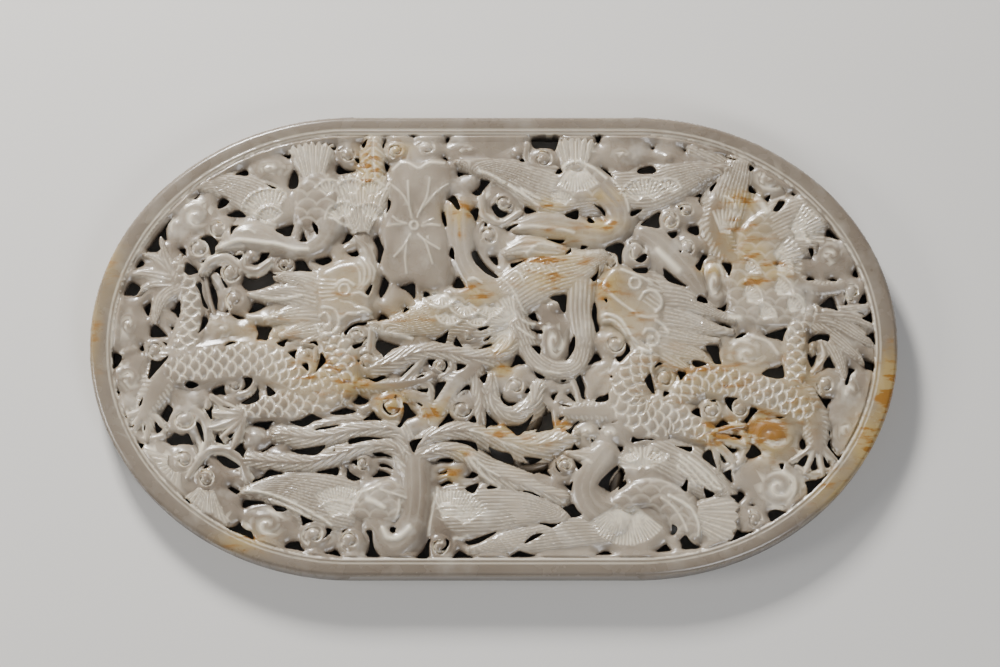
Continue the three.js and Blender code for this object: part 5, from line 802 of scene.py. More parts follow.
# ochre stains: a place, two radii and a strength
STAINS = [
    [-25, 36.5, 2.6, 5, 1.1], [-19, 40.5, 2.5, 1.5, 0.6], [-7, 27.5, 3, 2, 1], [-28, -7.5, 4.5, 2.6, 0.8],
    [-20, -11.5, 3.5, 2.6, 1], [-12, -13.3, 3, 1.8, 0.9], [2, -17, 3.5, 1.6, 0.9], [13, -16, 2.4, 1.4, 0.9],
    [10, 17.9, 5, 1.2, 1.1], [11, 14, 6, 3, 0.75], [15, 17.5, 5, 3, 0.6], [-3, 10.5, 4, 3, 0.7],
    [1.2, 0.3, 2.4, 1.6, 0.8], [2, -4.7, 2.4, 1.4, 0.8], [22, 24.8, 3.4, 1.5, 1.1],
    [22.6, 30.7, 3, 1.4, 0.8], [11, 29, 3.4, 1.5, 0.8], [13, 22.4, 8, 3, 0.45], [23, 12.4, 3.5, 4, 0.8],
    [26, 6, 5, 5, 0.5], [50, 30, 3.4, 2, 0.9], [52, 19, 3.6, 3.4, 0.8], [56, 15.6, 3.6, 2.4, 0.8],
    [52, 13.2, 3, 1.6, 0.9], [50, 22, 6, 8, 0.45], [43.6, 15.9, 2.4, 1.2, 0.9], [46, -17.5, 5, 3, 1.2],
    [54, -17.5, 4.5, 4.5, 1.2], [61, -12, 4, 6, 0.45], [79.5, -9, 3, 5.5, 1.5], [75, -20, 4, 6, 1],
    [68, -29, 6, 4, 0.6], [-49.5, -39, 5, 2.2, 0.6], [-77, 18, 2, 7, 0.4], [-80, 4, 1.5, 9, 0.4],
    [-8.5, -25.5, 2, 1.6, 0.7], [-6, -21.5, 2, 1.4, 0.6], [-34, -5, 9, 6, 0.5], [-45, 3, 9, 4, 0.35],
    [-15, 6, 9, 4, 0.4], [-30, 12, 6, 6, 0.35], [43, -6, 16, 6, 0.45], [61, -6, 5, 8, 0.4],
    [8, -19, 8, 4, 0.35],
]

# the photograph's camera, and the floor round the plaque
CAMERA_LENS = 135
CAMERA_TILT = 10.8
CAMERA_REACH = 750
AIM = (1.25, 2.2, 6.5)
FLOOR = 2500

STROKES = (LEFT_DRAGON + RIGHT_DRAGON + CRANE + PHOENIX + TOP_BIRD + RIGHT_BIRD + BOTTOM_BIRD
           + LOW_CRANE + STEMS)
OPENINGS = (OPEN_LEFT + OPEN_TOP_LEFT + OPEN_TOP_RIGHT + OPEN_MANE + OPEN_MIDDLE + OPEN_FAR_RIGHT
            + OPEN_CHEST + OPEN_COILS + OPEN_LOW_LEFT + OPEN_PLUMES + OPEN_LOW_RIGHT + OPEN_BOTTOM)

SCALE_X = (HALF_LENGTH - RIM_AT_SIDES) / DRAWN_HALF_LENGTH
SCALE_Y = (HALF_WIDTH - RIM_AT_TOP) / DRAWN_HALF_WIDTH
COLUMNS = int(HALF_LENGTH / STEP) + 3
ROWS = int(HALF_WIDTH / STEP) + 3
XS = np.arange(-COLUMNS, COLUMNS + 1) * STEP
YS = np.arange(-ROWS, ROWS + 1) * STEP
GRID_X, GRID_Y = np.meshgrid(XS, YS)


def placed(flat):
    """Moves drawn points, given as x, y, x, y, to the plaque."""
    points = np.array(flat, float).reshape(-1, 2)
    return np.column_stack([points[:, 0] * SCALE_X, (points[:, 1] - DRAWN_MIDDLE) * SCALE_Y])


def window(points, margin):
    """The part of the grid that holds the points, with a margin round them."""
    low = points.min(axis=0) - margin
    high = points.max(axis=0) + margin
    across = slice(max(0, int((low[0] - XS[0]) / STEP)), int((high[0] - XS[0]) / STEP) + 2)
    up = slice(max(0, int((low[1] - YS[0]) / STEP)), int((high[1] - YS[0]) / STEP) + 2)
    return up, across


def oval_distance(inset_ends, inset_long):
    """How far each grid point lies inside an oval: positive inside, negative outside.

    The oval has a straight run with half an ellipse at each end. Off the run the
    distance is the ellipse's implicit value over the length of its slope.
    """
    reach = HALF_LENGTH - inset_ends - RUN
    half = HALF_WIDTH - inset_long
    over = np.maximum(np.abs(GRID_X) - RUN, 0)
    level = np.hypot(over / reach, GRID_Y / half)
    slope = np.hypot(over / reach ** 2, GRID_Y / half ** 2) / np.maximum(level, 1e-6)
    return (1 - level) / np.maximum(slope, 1e-6)


def outline_distance(points, x, y):
    """Distance to a closed outline, positive inside it."""
    nearest = np.full(x.shape, 1e9)
    inside = np.zeros(x.shape, bool)
    for (ax, ay), (bx, by) in zip(points, np.roll(points, -1, axis=0)):
        length = max((bx - ax) ** 2 + (by - ay) ** 2, 1e-9)
        share = np.clip(((x - ax) * (bx - ax) + (y - ay) * (by - ay)) / length, 0, 1)
        nearest = np.minimum(nearest, np.hypot(x - ax - share * (bx - ax), y - ay - share * (by - ay)))
        crosses = (ay > y) != (by > y)
        inside ^= crosses & (x < (bx - ax) * (y - ay) / (by - ay + 1e-12) + ax)
    return np.where(inside, nearest, -nearest)


def rounded_outline(points, rounds=2):
    """Cuts the corners of an outline, so that an opening has soft corners."""
    for _ in range(rounds):
        after = np.roll(points, -1, axis=0)
        cut = np.stack([points * 0.8 + after * 0.2, points * 0.2 + after * 0.8], axis=1)
        points = cut.reshape(-1, 2)
    return points


def smooth_path(flat):
    """Points one grid step apart on a Catmull-Rom curve through a row's points."""
    guides = placed(flat)
    ends = np.vstack([2 * guides[0] - guides[1], guides, 2 * guides[-1] - guides[-2]])
    path = []
    for a, b, c, d in zip(ends, ends[1:], ends[2:], ends[3:]):
        count = max(2, int(np.hypot(*(c - b)) / STEP))
        t = np.linspace(0, 1, count, endpoint=False)[:, None]
        path.append(0.5 * (2 * b + (c - a) * t + (2 * a - 5 * b + 4 * c - d) * t ** 2
                           + (3 * b - a - 3 * c + d) * t ** 3))
    path.append(guides[-1:])
    return np.vstack(path)


def groove(phase, sharp=0.5):
    """1 in a narrow groove at each whole number of phase and 0 between them."""
    return 1 - np.abs(np.sin(np.pi * phase)) ** sharp


def scallops(u, v, size):
    """Overlapping round scales: 0 on a scale's crown and 1 at its lower edge.

    Scales stand in rows half a size apart, each row shifted by half a scale, and
    where two rows reach a point, the scale of the row behind is the one that shows.
    """
    result = np.ones(u.shape)
    done = np.zeros(u.shape, bool)
    base = np.floor(u / (size * 0.5))
    for ahead in (0, 1):
        row = base + ahead
        shift = (row % 2) * 0.5
        cross = (np.floor(v / size + shift) + 0.5 - shift) * size
        away = np.hypot(u - row * size * 0.5 + size * 0.35, v - cross) / (size * 0.62)
        hit = (away < 1) & ~done
        result = np.where(hit, away, result)
        done |= hit
    return result


class Relief:
    """The carved height of the field, and how strongly each place is marked, from 0 to 1."""

    def __init__(self):
        self.height = np.zeros(GRID_X.shape)
        self.marks = np.zeros(GRID_X.shape)

    def lay(self, where, inside, body, cut):
        """Raises the field to a figure's height, less its cuts, where it stands higher."""
        now = self.height[where]
        wins = inside & (body - cut > now)
        self.height[where] = np.where(wins, body - cut, now)
        self.marks[where] = np.where(wins, np.clip(cut / CUT_DEPTH, 0, 1), self.marks[where])

    def add(self, where, rise):
        """Adds a drawn line to what is there."""
        self.height[where] += rise
        # Raised lines are marked too, so they take the pale cut colour as a painted highlight.
        self.marks[where] = np.maximum(self.marks[where], np.clip(np.abs(rise) / CUT_DEPTH, 0, 1))


def level(crest):
    """A crest's height: the low stems as drawn, and the figures drawn closer to one level."""
    if crest < LOW_CREST:
        return crest * CREST
    return (MEAN_CREST + (crest - MEAN_CREST) * CREST_SHARE) * CREST


def crowned(crest, edge, fall=FIGURE_FALL, power=3):
    """A nearly flat top out to edge 1, and a skirt beyond that meets the next figure."""
    away = np.abs(edge)
    return level(crest) - fall * np.minimum(away, 1) ** power - SKIRT_FALL * np.maximum(away - 1, 0)


def feather_marks(ribs, u, v, half):
    """Long parallel barbs: 1.8 cuts across the feather for each of its ribs."""
    return CUT_DEPTH * 0.8 * groove((v + 1) * ribs * 0.9, 0.5)


def plume_marks(ribs, u, v, half):
    """Hair lines that leave the shaft at a shallow angle."""
    hairs = groove((np.abs(v) * half - HAIR_SLANT * u) / HAIR_PITCH, 0.5)
    shaft = np.exp(-(v / 0.14) ** 2)
    return CUT_DEPTH * 1.1 * hairs * (1 - shaft) - 0.1 * shaft


def scale_marks(ribs, u, v, half):
    """Rows of round scales, each with a cut line at its edge, and a plain border."""
    away = scallops(u, v * half, SCALE_SIZE)
    line = np.exp(-((away - SCALE_LINE) / SCALE_LINE_WIDTH) ** 2)
    inside = np.clip((0.9 - np.abs(v)) / 0.1, 0, 1)
    return (CUT_DEPTH * line - 0.08 * (1 - away)) * inside


def neck_marks(ribs, u, v, half):
    """A smooth neck with four faint lines along it."""
    return 0.06 * groove((v + 1) * 1.5, 0.4)


def limb_marks(ribs, u, v, half):
    """A smooth limb with a fringe of short hairs along each side."""
    fringe = np.clip((np.abs(v) - 0.4) / 0.3, 0, 1)
    return CUT_DEPTH * fringe * groove(u / FRINGE_PITCH - np.abs(v) * FRINGE_SLANT, 0.5)


def vine_marks(ribs, u, v, half):
    """A round stem that falls away evenly to both sides."""
    return 0.35 * np.minimum(v ** 2, 1)


def leaf_marks(ribs, u, v, half):
    """A middle vein and side veins that run back from it."""
    veins = groove(u / VEIN_PITCH - np.abs(v) * half * VEIN_SLANT, 0.4)
    return CUT_DEPTH * np.maximum(np.exp(-(v / 0.12) ** 2), veins)


STROKE_MARKS = {
    "quill": feather_marks,
    "plume": plume_marks,
    "scales": scale_marks,
    "neck": neck_marks,
    "limb": limb_marks,
    "vine": vine_marks,
    "leaf": leaf_marks,
    "pod": neck_marks,
    "rod": vine_marks,
}


def carve_stroke(relief, kind, crest, ribs, widths, flat):
    """Lays one stroke and its marks, in place along and across its path."""
    path = smooth_path(flat)
    ahead = np.gradient(path, axis=0)
    ahead /= np.maximum(np.hypot(ahead[:, 0], ahead[:, 1]), 1e-9)[:, None]
    run = np.concatenate([[0], np.cumsum(np.hypot(*np.diff(path, axis=0).T))])
    halves = np.interp(run / run[-1], np.linspace(0, 1, len(widths)), widths) / 2
    where = window(path, SKIRT_REACH * max(widths) / 2)
    x, y = GRID_X[where], GRID_Y[where]
    away = (x[..., None] - path[:, 0]) ** 2 + (y[..., None] - path[:, 1]) ** 2
    near = away.argmin(axis=-1)
    dx, dy = x - path[near, 0], y - path[near, 1]
    half = halves[near]
    edge = np.hypot(dx, dy) / half
    v = (ahead[near, 0] * dy - ahead[near, 1] * dx) / half
    u = run[near] + dx * ahead[near, 0] + dy * ahead[near, 1]
    relief.lay(where, edge < SKIRT_REACH, crowned(crest, edge), STROKE_MARKS[kind](ribs, u, v, half))


def boss_frame(x, y, rx, ry, turn):
    """Round and angle about a boss: radius 1 at its edge."""
    centre = placed([x, y])
    where = window(centre, SKIRT_REACH * max(rx, ry))
    dx, dy = GRID_X[where] - centre[0, 0], GRID_Y[where] - centre[0, 1]
    c, s = math.cos(math.radians(turn)), math.sin(math.radians(turn))
    a, b = (dx * c + dy * s) / rx, (dy * c - dx * s) / ry
    return where, np.hypot(a, b), np.arctan2(b, a)


def carve_boss(relief, kind, crest, x, y, rx, ry, turn):
    """Lays a cloud, curl, lobe or ball. The line on a cloud or a curl winds in as a spiral."""
    where, edge, angle = boss_frame(x, y, rx, ry, turn)
    if kind == "cloud":
        turns = max(1.0, (rx + ry) / 5)
        line = np.clip((1.05 - edge) / 0.2, 0, 1) * np.clip(edge / 0.15, 0, 1)
        cut = 1.3 * CUT_DEPTH * groove(edge * turns - angle / (2 * math.pi), 0.8) * line
        edge = edge / (1 + CLOUD_WAVE * np.cos(5 * angle))
        body = crowned(crest, edge, BOSS_FALL, 2)
    elif kind == "curl":
        swing = (angle + x + y) % (2 * math.pi)
        ring = CURL_EYE + CURL_WINDING * swing / (2 * math.pi)
        groove_line = np.exp(-((edge - ring) / BOSS_LINE_WIDTH) ** 2)
        cut = CURL_GROOVE * groove_line * np.clip(swing / 0.7, 0, 1)
        dome = np.sqrt(np.clip(1 - (edge / CURL_EYE) ** 2, 0, 1))
        body = crowned(crest, edge, CURL_FALL) + CURL_DOME * dome
    elif kind == "lobe":
        arc = np.exp(-((edge - LOBE_LINE) / BOSS_LINE_WIDTH) ** 2)
        cut = 0.8 * CUT_DEPTH * arc * np.clip(0.5 + np.cos(angle - 2), 0, 1)
        body = crowned(crest, edge, BOSS_FALL, 2)
    else:
        cut = np.zeros(edge.shape)
        body = crowned(crest, edge, BALL_FALL, 2)
    relief.lay(where, edge < SKIRT_REACH, body, cut)


def carve_fan(relief, kind, crest, ribs, x, y, toward, spread, inner, outer):
    """Lays a fan of claws or of tail feathers about one root."""
    angles = [math.radians(toward + spread * (i / (ribs - 1) - 0.5)) for i in range(ribs)]
    if kind == "claw":
        for angle in angles:
            path = [x + inner * math.cos(angle), y + inner * math.sin(angle),
                    x + outer * 0.6 * math.cos(angle), y + outer * 0.6 * math.sin(angle),
                    x + outer * math.cos(angle - 0.08), y + outer * math.sin(angle - 0.08)]
            carve_stroke(relief, "rod", crest, 1, CLAW_WIDTHS, path)
        return
    root = placed([x, y])
    where = window(root, outer + 1.5)
    dx, dy = GRID_X[where] - root[0, 0], GRID_Y[where] - root[0, 1]
    turn = (np.degrees(np.arctan2(dy, dx)) - toward + 180) % 360 - 180
    radius = np.hypot(dx, dy)
    phase = (turn / spread + 0.5) * ribs
    end = outer * (0.94 + 0.06 * np.abs(np.sin(np.pi * phase)))
    side = np.abs(turn) * 2 / spread
    inside = (side < 1.25) & (radius > inner) & (radius < end + 1.2)
    beyond = np.maximum(radius - end, 0) * 2 + np.maximum(side - 1, 0) * 5
    cut = CUT_DEPTH * 1.1 * np.maximum(groove(phase, 0.55), 0.7 * groove(phase + 0.5, 0.45))
    relief.lay(where, inside, level(crest) - beyond - 0.3 * np.clip(side, 0, 1) ** 4, cut)


def carve_patch(relief, kind, crest, outline):
    """Lays a head, a body or a leaf inside its own outline."""
    points = rounded_outline(placed(outline))
    where = window(points, 1.5)
    x, y = GRID_X[where], GRID_Y[where]
    depth = outline_distance(points, x, y)
    middle = points.mean(axis=0)
    dx, dy = x - middle[0], y - middle[1]
    body = crowned(crest, np.maximum(1 - depth / 2.2, 0))
    cut = np.zeros(dx.shape)
    if kind == "body":
        away = scallops(dy, dx, FEATHER_SIZE)
        cut = 0.4 * CUT_DEPTH * np.exp(-((away - FEATHER_LINE) / FEATHER_LINE_WIDTH) ** 2)
    elif kind == "leaf":
        body = body - 0.25 * np.cos(dx * 0.55) * np.cos(dy * 0.3)
    relief.lay(where, depth > -1.3, body, cut)


def carve_line(relief, rise, width, flat):
    """Raises a line along a path, or cuts it where the rise is negative: a bell curve across it."""
    path = smooth_path(flat)
    where = window(path, 3 * width)
    x, y = GRID_X[where], GRID_Y[where]
    away = ((x[..., None] - path[:, 0]) ** 2 + (y[..., None] - path[:, 1]) ** 2).min(axis=-1)
    relief.add(where, rise * np.exp(-away / width ** 2))


def carve_rays(relief, x, y, inner, outer, start, end, count):
    """Cuts lines that run out from one point."""
    for turn in np.radians(np.linspace(start, end, count)):
        path = [v for far in (inner, outer) for v in (x + far * math.cos(turn), y + far * math.sin(turn))]
        carve_line(relief, -CUT_DEPTH, CUT_WIDTH, path)


def carve_scallop(relief, x, y, radius, start, end, count):
    """Raises the rim of a feather's round end, with short lines inside it."""
    arc = [v for turn in np.radians(np.linspace(start, end, 7))
           for v in (x + radius * math.cos(turn), y + radius * math.sin(turn))]
    carve_line(relief, 0.8 * CUT_DEPTH, RIDGE_WIDTH, arc)
    carve_rays(relief, x, y, radius * 0.3, radius * 0.82, start + 8, end - 8, count)


def opening_distance(inner):
    """Distance to the nearest opening, positive on the material."""
    reach = 2.6
    nearest = np.full(GRID_X.shape, reach)
    for flat in OPENINGS:
        drawn = [v + RIM_REACH if i % 2 and v > RUNS_TO_RIM else v for i, v in enumerate(flat)]
        points = rounded_outline(placed(drawn))
        where = window(points, reach)
        away = -outline_distance(points, GRID_X[where], GRID_Y[where])
        nearest[where] = np.minimum(nearest[where], away)
    return np.maximum(nearest, -inner)


def plate_height(inner, clear):
    """The plate between the figures, with the low stems sunk into it."""
    swell = PLATE_SWELL * np.sqrt(np.clip(clear / PLATE_REACH, 0, 1))
    plate = PLATE + swell + PLATE_AT_RIM * np.clip(1 - inner / PLATE_AT_RIM_REACH, 0, 1)
    sunk = Relief()
    for row in STROKES:
        if row[1] < LOW_CREST:
            carve_stroke(sunk, *row)
    return np.where(sunk.height > 0, sunk.height, plate)


def carved_relief(inner, clear):
    """The whole field: figures over a plate, and lines drawn on the figures."""
    relief = Relief()
    for row in STROKES:
        if row[1] >= LOW_CREST:
            carve_stroke(relief, *row)
    for row in FANS:
        carve_fan(relief, *row)
    for row in PATCHES:
        carve_patch(relief, *row)
    for row in BOSSES:
        carve_boss(relief, *row)
    relief.lay(slice(None), True, plate_height(inner, clear), 0 * inner)
    for rise, width, path in RIDGES:
        carve_line(relief, rise, width, path)
    for depth, width, path in CUTS:
        carve_line(relief, -depth, width, path)
    for row in RAYS:
        carve_rays(relief, *row)
    for row in SCALLOPS:
        carve_scallop(relief, *row)
    most = RIM_HEIGHT - BELOW_RIM + FIELD_RISE * np.clip(inner, 0, FIELD_RISE_REACH)
    seam = SEAM_DEPTH * np.exp(-((inner - SEAM_WIDTH) / SEAM_WIDTH) ** 2)
    return np.minimum(relief.height, np.minimum(most, CREST)) - seam, relief.marks


def top_and_back():
    """Heights of the face and the back, the distance to the nearest edge, and the marks."""
    outer = oval_distance(0, 0)
    inner = oval_distance(RIM_AT_SIDES, RIM_AT_TOP)
    clear = opening_distance(inner)
    field, marks = carved_relief(inner, clear)
    worn = np.clip(1 - clear / EDGE_ROUND, 0, 1)
    field = field - EDGE_DROP * (1 - np.sqrt(1 - worn ** 2))
    rounded = np.clip(1 - outer / OUTER_ROUND, 0, 1)
    bevel = np.clip(1 + inner / INNER_BEVEL, 0, 1)
    line = RIM_LINE_DEPTH * np.exp(-((inner + RIM_LINE) / RIM_LINE_WIDTH) ** 2)
    shoulder = OUTER_ROUND * (1 - np.sqrt(1 - rounded ** 2))
    rim = RIM_HEIGHT - shoulder - BEVEL_SHARE * INNER_BEVEL * bevel - line
    in_rim = inner <= 0
    top = np.where(in_rim, rim, field)
    # The rim's bevel is marked like a cut, so it takes the pale cut colour as a painted highlight along the
    # rim's inner edge; its cut line takes the pale of a cut.
    marks = np.where(in_rim, np.maximum(bevel, line * 5), marks)
    lift = np.clip(1 - clear / UNDERCUT, 0, 1) * (top - EDGE_THICKNESS)
    back = np.where(in_rim, 0.0, np.maximum(lift, 0))
    edge = np.minimum(outer, clear)
    return top, back, edge, marks


def kept_cells(edge):
    """The grid's cells that hold material, with no two of them meeting at a corner only."""
    middle = (edge[:-1, :-1] + edge[1:, :-1] + edge[:-1, 1:] + edge[1:, 1:]) / 4
    kept = middle > 0
    for _ in range(6):
        a, b, c, d = kept[:-1, :-1], kept[:-1, 1:], kept[1:, :-1], kept[1:, 1:]
        rising = a & d & ~b & ~c
        falling = b & c & ~a & ~d
        if not (rising.any() or falling.any()):
            break
        kept[:-1, 1:] |= rising
        kept[:-1, :-1] |= falling
    return largest_part(kept)


def largest_part(kept):
    """Drops specks that no longer join the plaque, by spreading out from the rim."""
    reached = np.zeros(kept.shape, bool)
    middle_row = kept.shape[0] // 2
    reached[middle_row, np.argmax(kept[middle_row])] = True
    while True:
        grown = reached.copy()
        for _ in range(40):
            grown[1:] |= grown[:-1] & kept[1:]
            grown[:-1] |= grown[1:] & kept[:-1]
            grown[:, 1:] |= grown[:, :-1] & kept[:, 1:]
            grown[:, :-1] |= grown[:, 1:] & kept[:, :-1]
        if (grown == reached).all():
            return reached
        reached = grown


def snapped(edge, on_border):
    """Grid points with those on a border moved on to the true edge."""
    slope_y, slope_x = np.gradient(edge, STEP)
    size = np.maximum(np.hypot(slope_x, slope_y), 0.5)
    move = np.clip(edge, -0.6 * STEP, 0.6 * STEP) / size
    x = np.where(on_border, GRID_X - move * slope_x / size, GRID_X)
    y = np.where(on_border, GRID_Y - move * slope_y / size, GRID_Y)
    return x, y


def plaque_arrays():
    """Vertices and four-sided faces of the closed plaque, in millimetres."""
    top, back, edge, marks = top_and_back()
    kept = kept_cells(edge)
    used = np.zeros(edge.shape, bool)
    full = np.ones(edge.shape, bool)
    for rows, columns in ((slice(0, -1), slice(0, -1)), (slice(0, -1), slice(1, None)),
                          (slice(1, None), slice(0, -1)), (slice(1, None), slice(1, None))):
        used[rows, columns] |= kept
        full[rows, columns] &= kept
    full[0] = full[-1] = False
    full[:, 0] = full[:, -1] = False
    x, y = snapped(edge, used & ~full)
    number = np.full(edge.shape, -1)
    number[used] = np.arange(used.sum())
    count = int(used.sum())
    vertices = np.vstack([
        np.column_stack([x[used], y[used], top[used]]),
        np.column_stack([x[used], y[used], np.minimum(back, top - 0.6)[used]]),
    ])
    a, b = number[:-1, :-1], number[:-1, 1:]
    c, d = number[1:, 1:], number[1:, :-1]
    face = np.stack([a, b, c, d], axis=-1)
    faces = [face[kept], face[kept][:, ::-1] + count]
    padded = np.pad(kept, 1)
    inner = (slice(1, -1), slice(1, -1))
    for shift, (first, second) in (((-1, 0), (a, b)), ((0, 1), (b, c)), ((1, 0), (c, d)), ((0, -1), (d, a))):
        beside = np.roll(padded, (-shift[0], -shift[1]), axis=(0, 1))[inner]
        bare = kept & ~beside
        p, q = first[bare], second[bare]
        faces.append(np.column_stack([q, p, p + count, q + count]))
    return vertices, np.vstack(faces), top, marks


def plaque_mesh(vertices, faces):
    """A Blender mesh in metres from vertices in millimetres and four-sided faces."""
    mesh = bpy.data.meshes.new("jade_carving")
    mesh.vertices.add(len(vertices))
    mesh.vertices.foreach_set("co", (vertices * MM).ravel())
    mesh.loops.add(faces.size)
    mesh.loops.foreach_set("vertex_index", faces.ravel())
    mesh.polygons.add(len(faces))
    mesh.polygons.foreach_set("loop_start", np.arange(0, faces.size, 4))
    mesh.update(calc_edges=True)
    return mesh


def fewer_triangles(mesh):
    """The same surface with flat stretches in fewer, larger triangles."""
    draft = bpy.data.objects.new("draft", mesh)
    bpy.context.scene.collection.objects.link(draft)
    thin = draft.modifiers.new("fewer", "DECIMATE")
    thin.ratio = min(1.0, MOST_TRIANGLES / (2 * len(mesh.polygons)))
    thin.use_collapse_triangulate = True
    graph = bpy.context.evaluated_depsgraph_get()
    result = bpy.data.meshes.new_from_object(draft.evaluated_get(graph))
    bpy.data.objects.remove(draft)
    bpy.data.meshes.remove(mesh)
    return result


class Socket:
    """A shader socket that takes part in Python sums, so a + b adds its Math node."""

    def __init__(self, tree, output):
        self.tree = tree
        self.output = output

    def math(self, operation, *others):
        return self.tree.node("ShaderNodeMath", {"operation": operation},
                              dict(enumerate([self, *others])))

    def __add__(self, other):
        return self.math("ADD", other)

    def __radd__(self, other):
        return self.math("ADD", other)

    def __sub__(self, other):
        return self.math("SUBTRACT", other)

    def __rsub__(self, other):
        return self.tree.node("ShaderNodeMath", {"operation": "SUBTRACT"}, {0: other, 1: self})

    def __mul__(self, other):
        return self.math("MULTIPLY", other)

    def __rmul__(self, other):
        return self.math("MULTIPLY", other)

    def clamped(self):
        return self.tree.node("ShaderNodeClamp", {}, {"Value": self})


class Tree:
    """A material's nodes."""

    def __init__(self, name):
        self.material = bpy.data.materials.new(name)
        self.material.use_nodes = True
        self.tree = self.material.node_tree
        self.shader = self.tree.nodes["Principled BSDF"]

    def node(self, kind, settings, values, output=0):
        """Adds a node: its settings first, then a value or a link for each socket."""
        made = self.tree.nodes.new(kind)
        for name, value in settings.items():
            setattr(made, name, value)
        for name, value in values.items():
            self.set(made.inputs[name], value)
        return Socket(self, made.outputs[output])

    def set(self, target, value):
        if isinstance(value, Socket):
            self.tree.links.new(value.output, target)
        else:
            target.default_value = value

    def shade(self, **values):
        """Sets the shader's own sockets by name, with spaces written as underscores."""
        for name, value in values.items():
            self.set(self.shader.inputs[name.replace("_", " ")], value)

    def noise(self, place, scale, detail=3.0, rough=0.55):
        return self.node("ShaderNodeTexNoise", {}, {
            "Vector": place, "Scale": scale, "Detail": detail, "Roughness": rough})

    def attribute(self, name):
        return self.node("ShaderNodeAttribute", {"attribute_name": name}, {}, output=2)

    def blend(self, share, first, second):
        """Mixes two colours."""
        return self.node("ShaderNodeMix", {"data_type": "RGBA"}, {0: share, 6: first, 7: second}, 2)


def colour(*screen):
    """Red, green and blue as they look on screen, from 0 to 255, in linear values."""
    return tuple(((c / 255 + 0.055) / 1.055) ** 2.4 if c > 10 else c / 3295 for c in screen) + (1.0,)


JADE_PALE = colour(176, 164, 147)
JADE_DEEP = colour(132, 119, 104)
JADE_MILK = colour(204, 196, 182)
CUT_DUST_AND_HIGHLIGHT = colour(240, 230, 208)
RIM_GREY = colour(122, 111, 98)
CREAM = colour(184, 158, 98)
OCHRE = colour(148, 100, 28)
PAINTED_SHADE = colour(58, 47, 37)


def jade():
    """Pale nephrite: cloudy colour, ochre streaks, pale dust in the cuts, a painted highlight on raised lines
    and the rim's bevel, painted shade in hollows and on walls, and a soft polish.
    """
    tree = Tree("jade")
    place = tree.node("ShaderNodeTexCoord", {}, {}, output=3)
    long_way = tree.node("ShaderNodeVectorMath", {"operation": "MULTIPLY"}, {0: place, 1: (1.0, 3.2, 1.0)})
    cloud = tree.noise(place, 60.0, 4.0)
    milk = tree.noise(place, 190.0, 3.0)
    streak = tree.noise(long_way, 230.0, 5.0)
    speck = tree.noise(place, 1100.0, 2.0)
    hollow_shade = tree.attribute("hollow_shade")
    stain = tree.attribute("stain")
    cut = tree.attribute("cut")
    rim = tree.attribute("rim")
    body = tree.blend(((cloud - 0.36) * 3.2).clamped(), JADE_DEEP, JADE_PALE)
    body = tree.blend(((milk - 0.55) * 4.0).clamped() * 0.8, body, JADE_MILK)
    body = tree.blend((rim * (0.5 + cloud * 0.4)).clamped(), body, RIM_GREY)
    body = tree.blend((stain * 1.5).clamped() * 0.75, body, CREAM)
    # Pale dust in the cuts, and a painted highlight along the raised lines and the rim's inner bevel, which
    # are marked as cuts too.
    body = tree.blend(cut * 0.9, body, CUT_DUST_AND_HIGHLIGHT)
    vein = (stain * ((streak - 0.54) * 14.0 + stain * 1.1)).clamped()
    body = tree.blend(vein * 0.9, body, OCHRE)
    # Painted shade: dark brown in hollows between the figures and on the walls and back below the face.
    body = tree.blend((hollow_shade * (0.8 + speck * 0.4)).clamped() * 0.8, body, PAINTED_SHADE)
    bump = tree.node("ShaderNodeBump", {}, {
        "Strength": 0.3, "Distance": 0.00015, "Height": milk * 0.7 + speck * 0.3})
    tree.shade(
        Base_Color=body,
        Roughness=(0.27 + hollow_shade * 0.3 + cut * 0.12 + (milk - 0.5) * 0.14).clamped(),
        Normal=bump,
        IOR=1.61,
        Subsurface_Weight=0.5,
        Subsurface_Radius=(1.0, 0.86, 0.68),
        Subsurface_Scale=0.0013,
        Coat_Weight=0.35,
        Coat_Roughness=0.1,
    )
    return tree.material


def spread(values, cells):
    """Averages each value with its neighbours, by box sums along rows and columns."""
    for axis in (0, 1):
        for _ in range(2):
            size = 2 * cells + 1
            padded = np.concatenate([np.repeat(values.take([0], axis), cells + 1, axis), values,
                                     np.repeat(values.take([-1], axis), cells, axis)], axis)
            sums = np.cumsum(padded, axis=axis)
            low = sums.take(range(0, values.shape[axis]), axis)
            high = sums.take(range(size, size + values.shape[axis]), axis)
            values = (high - low) / size
    return values


def stain_map():
    """How ochre the jade is: round patches that fade out by the square of distance."""
    total = np.zeros(GRID_X.shape)
    for x, y, rx, ry, strength in STAINS:
        centre = placed([x, y])[0]
        away = ((GRID_X - centre[0]) / rx) ** 2 + ((GRID_Y - centre[1]) / ry) ** 2
        total = np.maximum(total, strength * np.exp(-away))
    return total


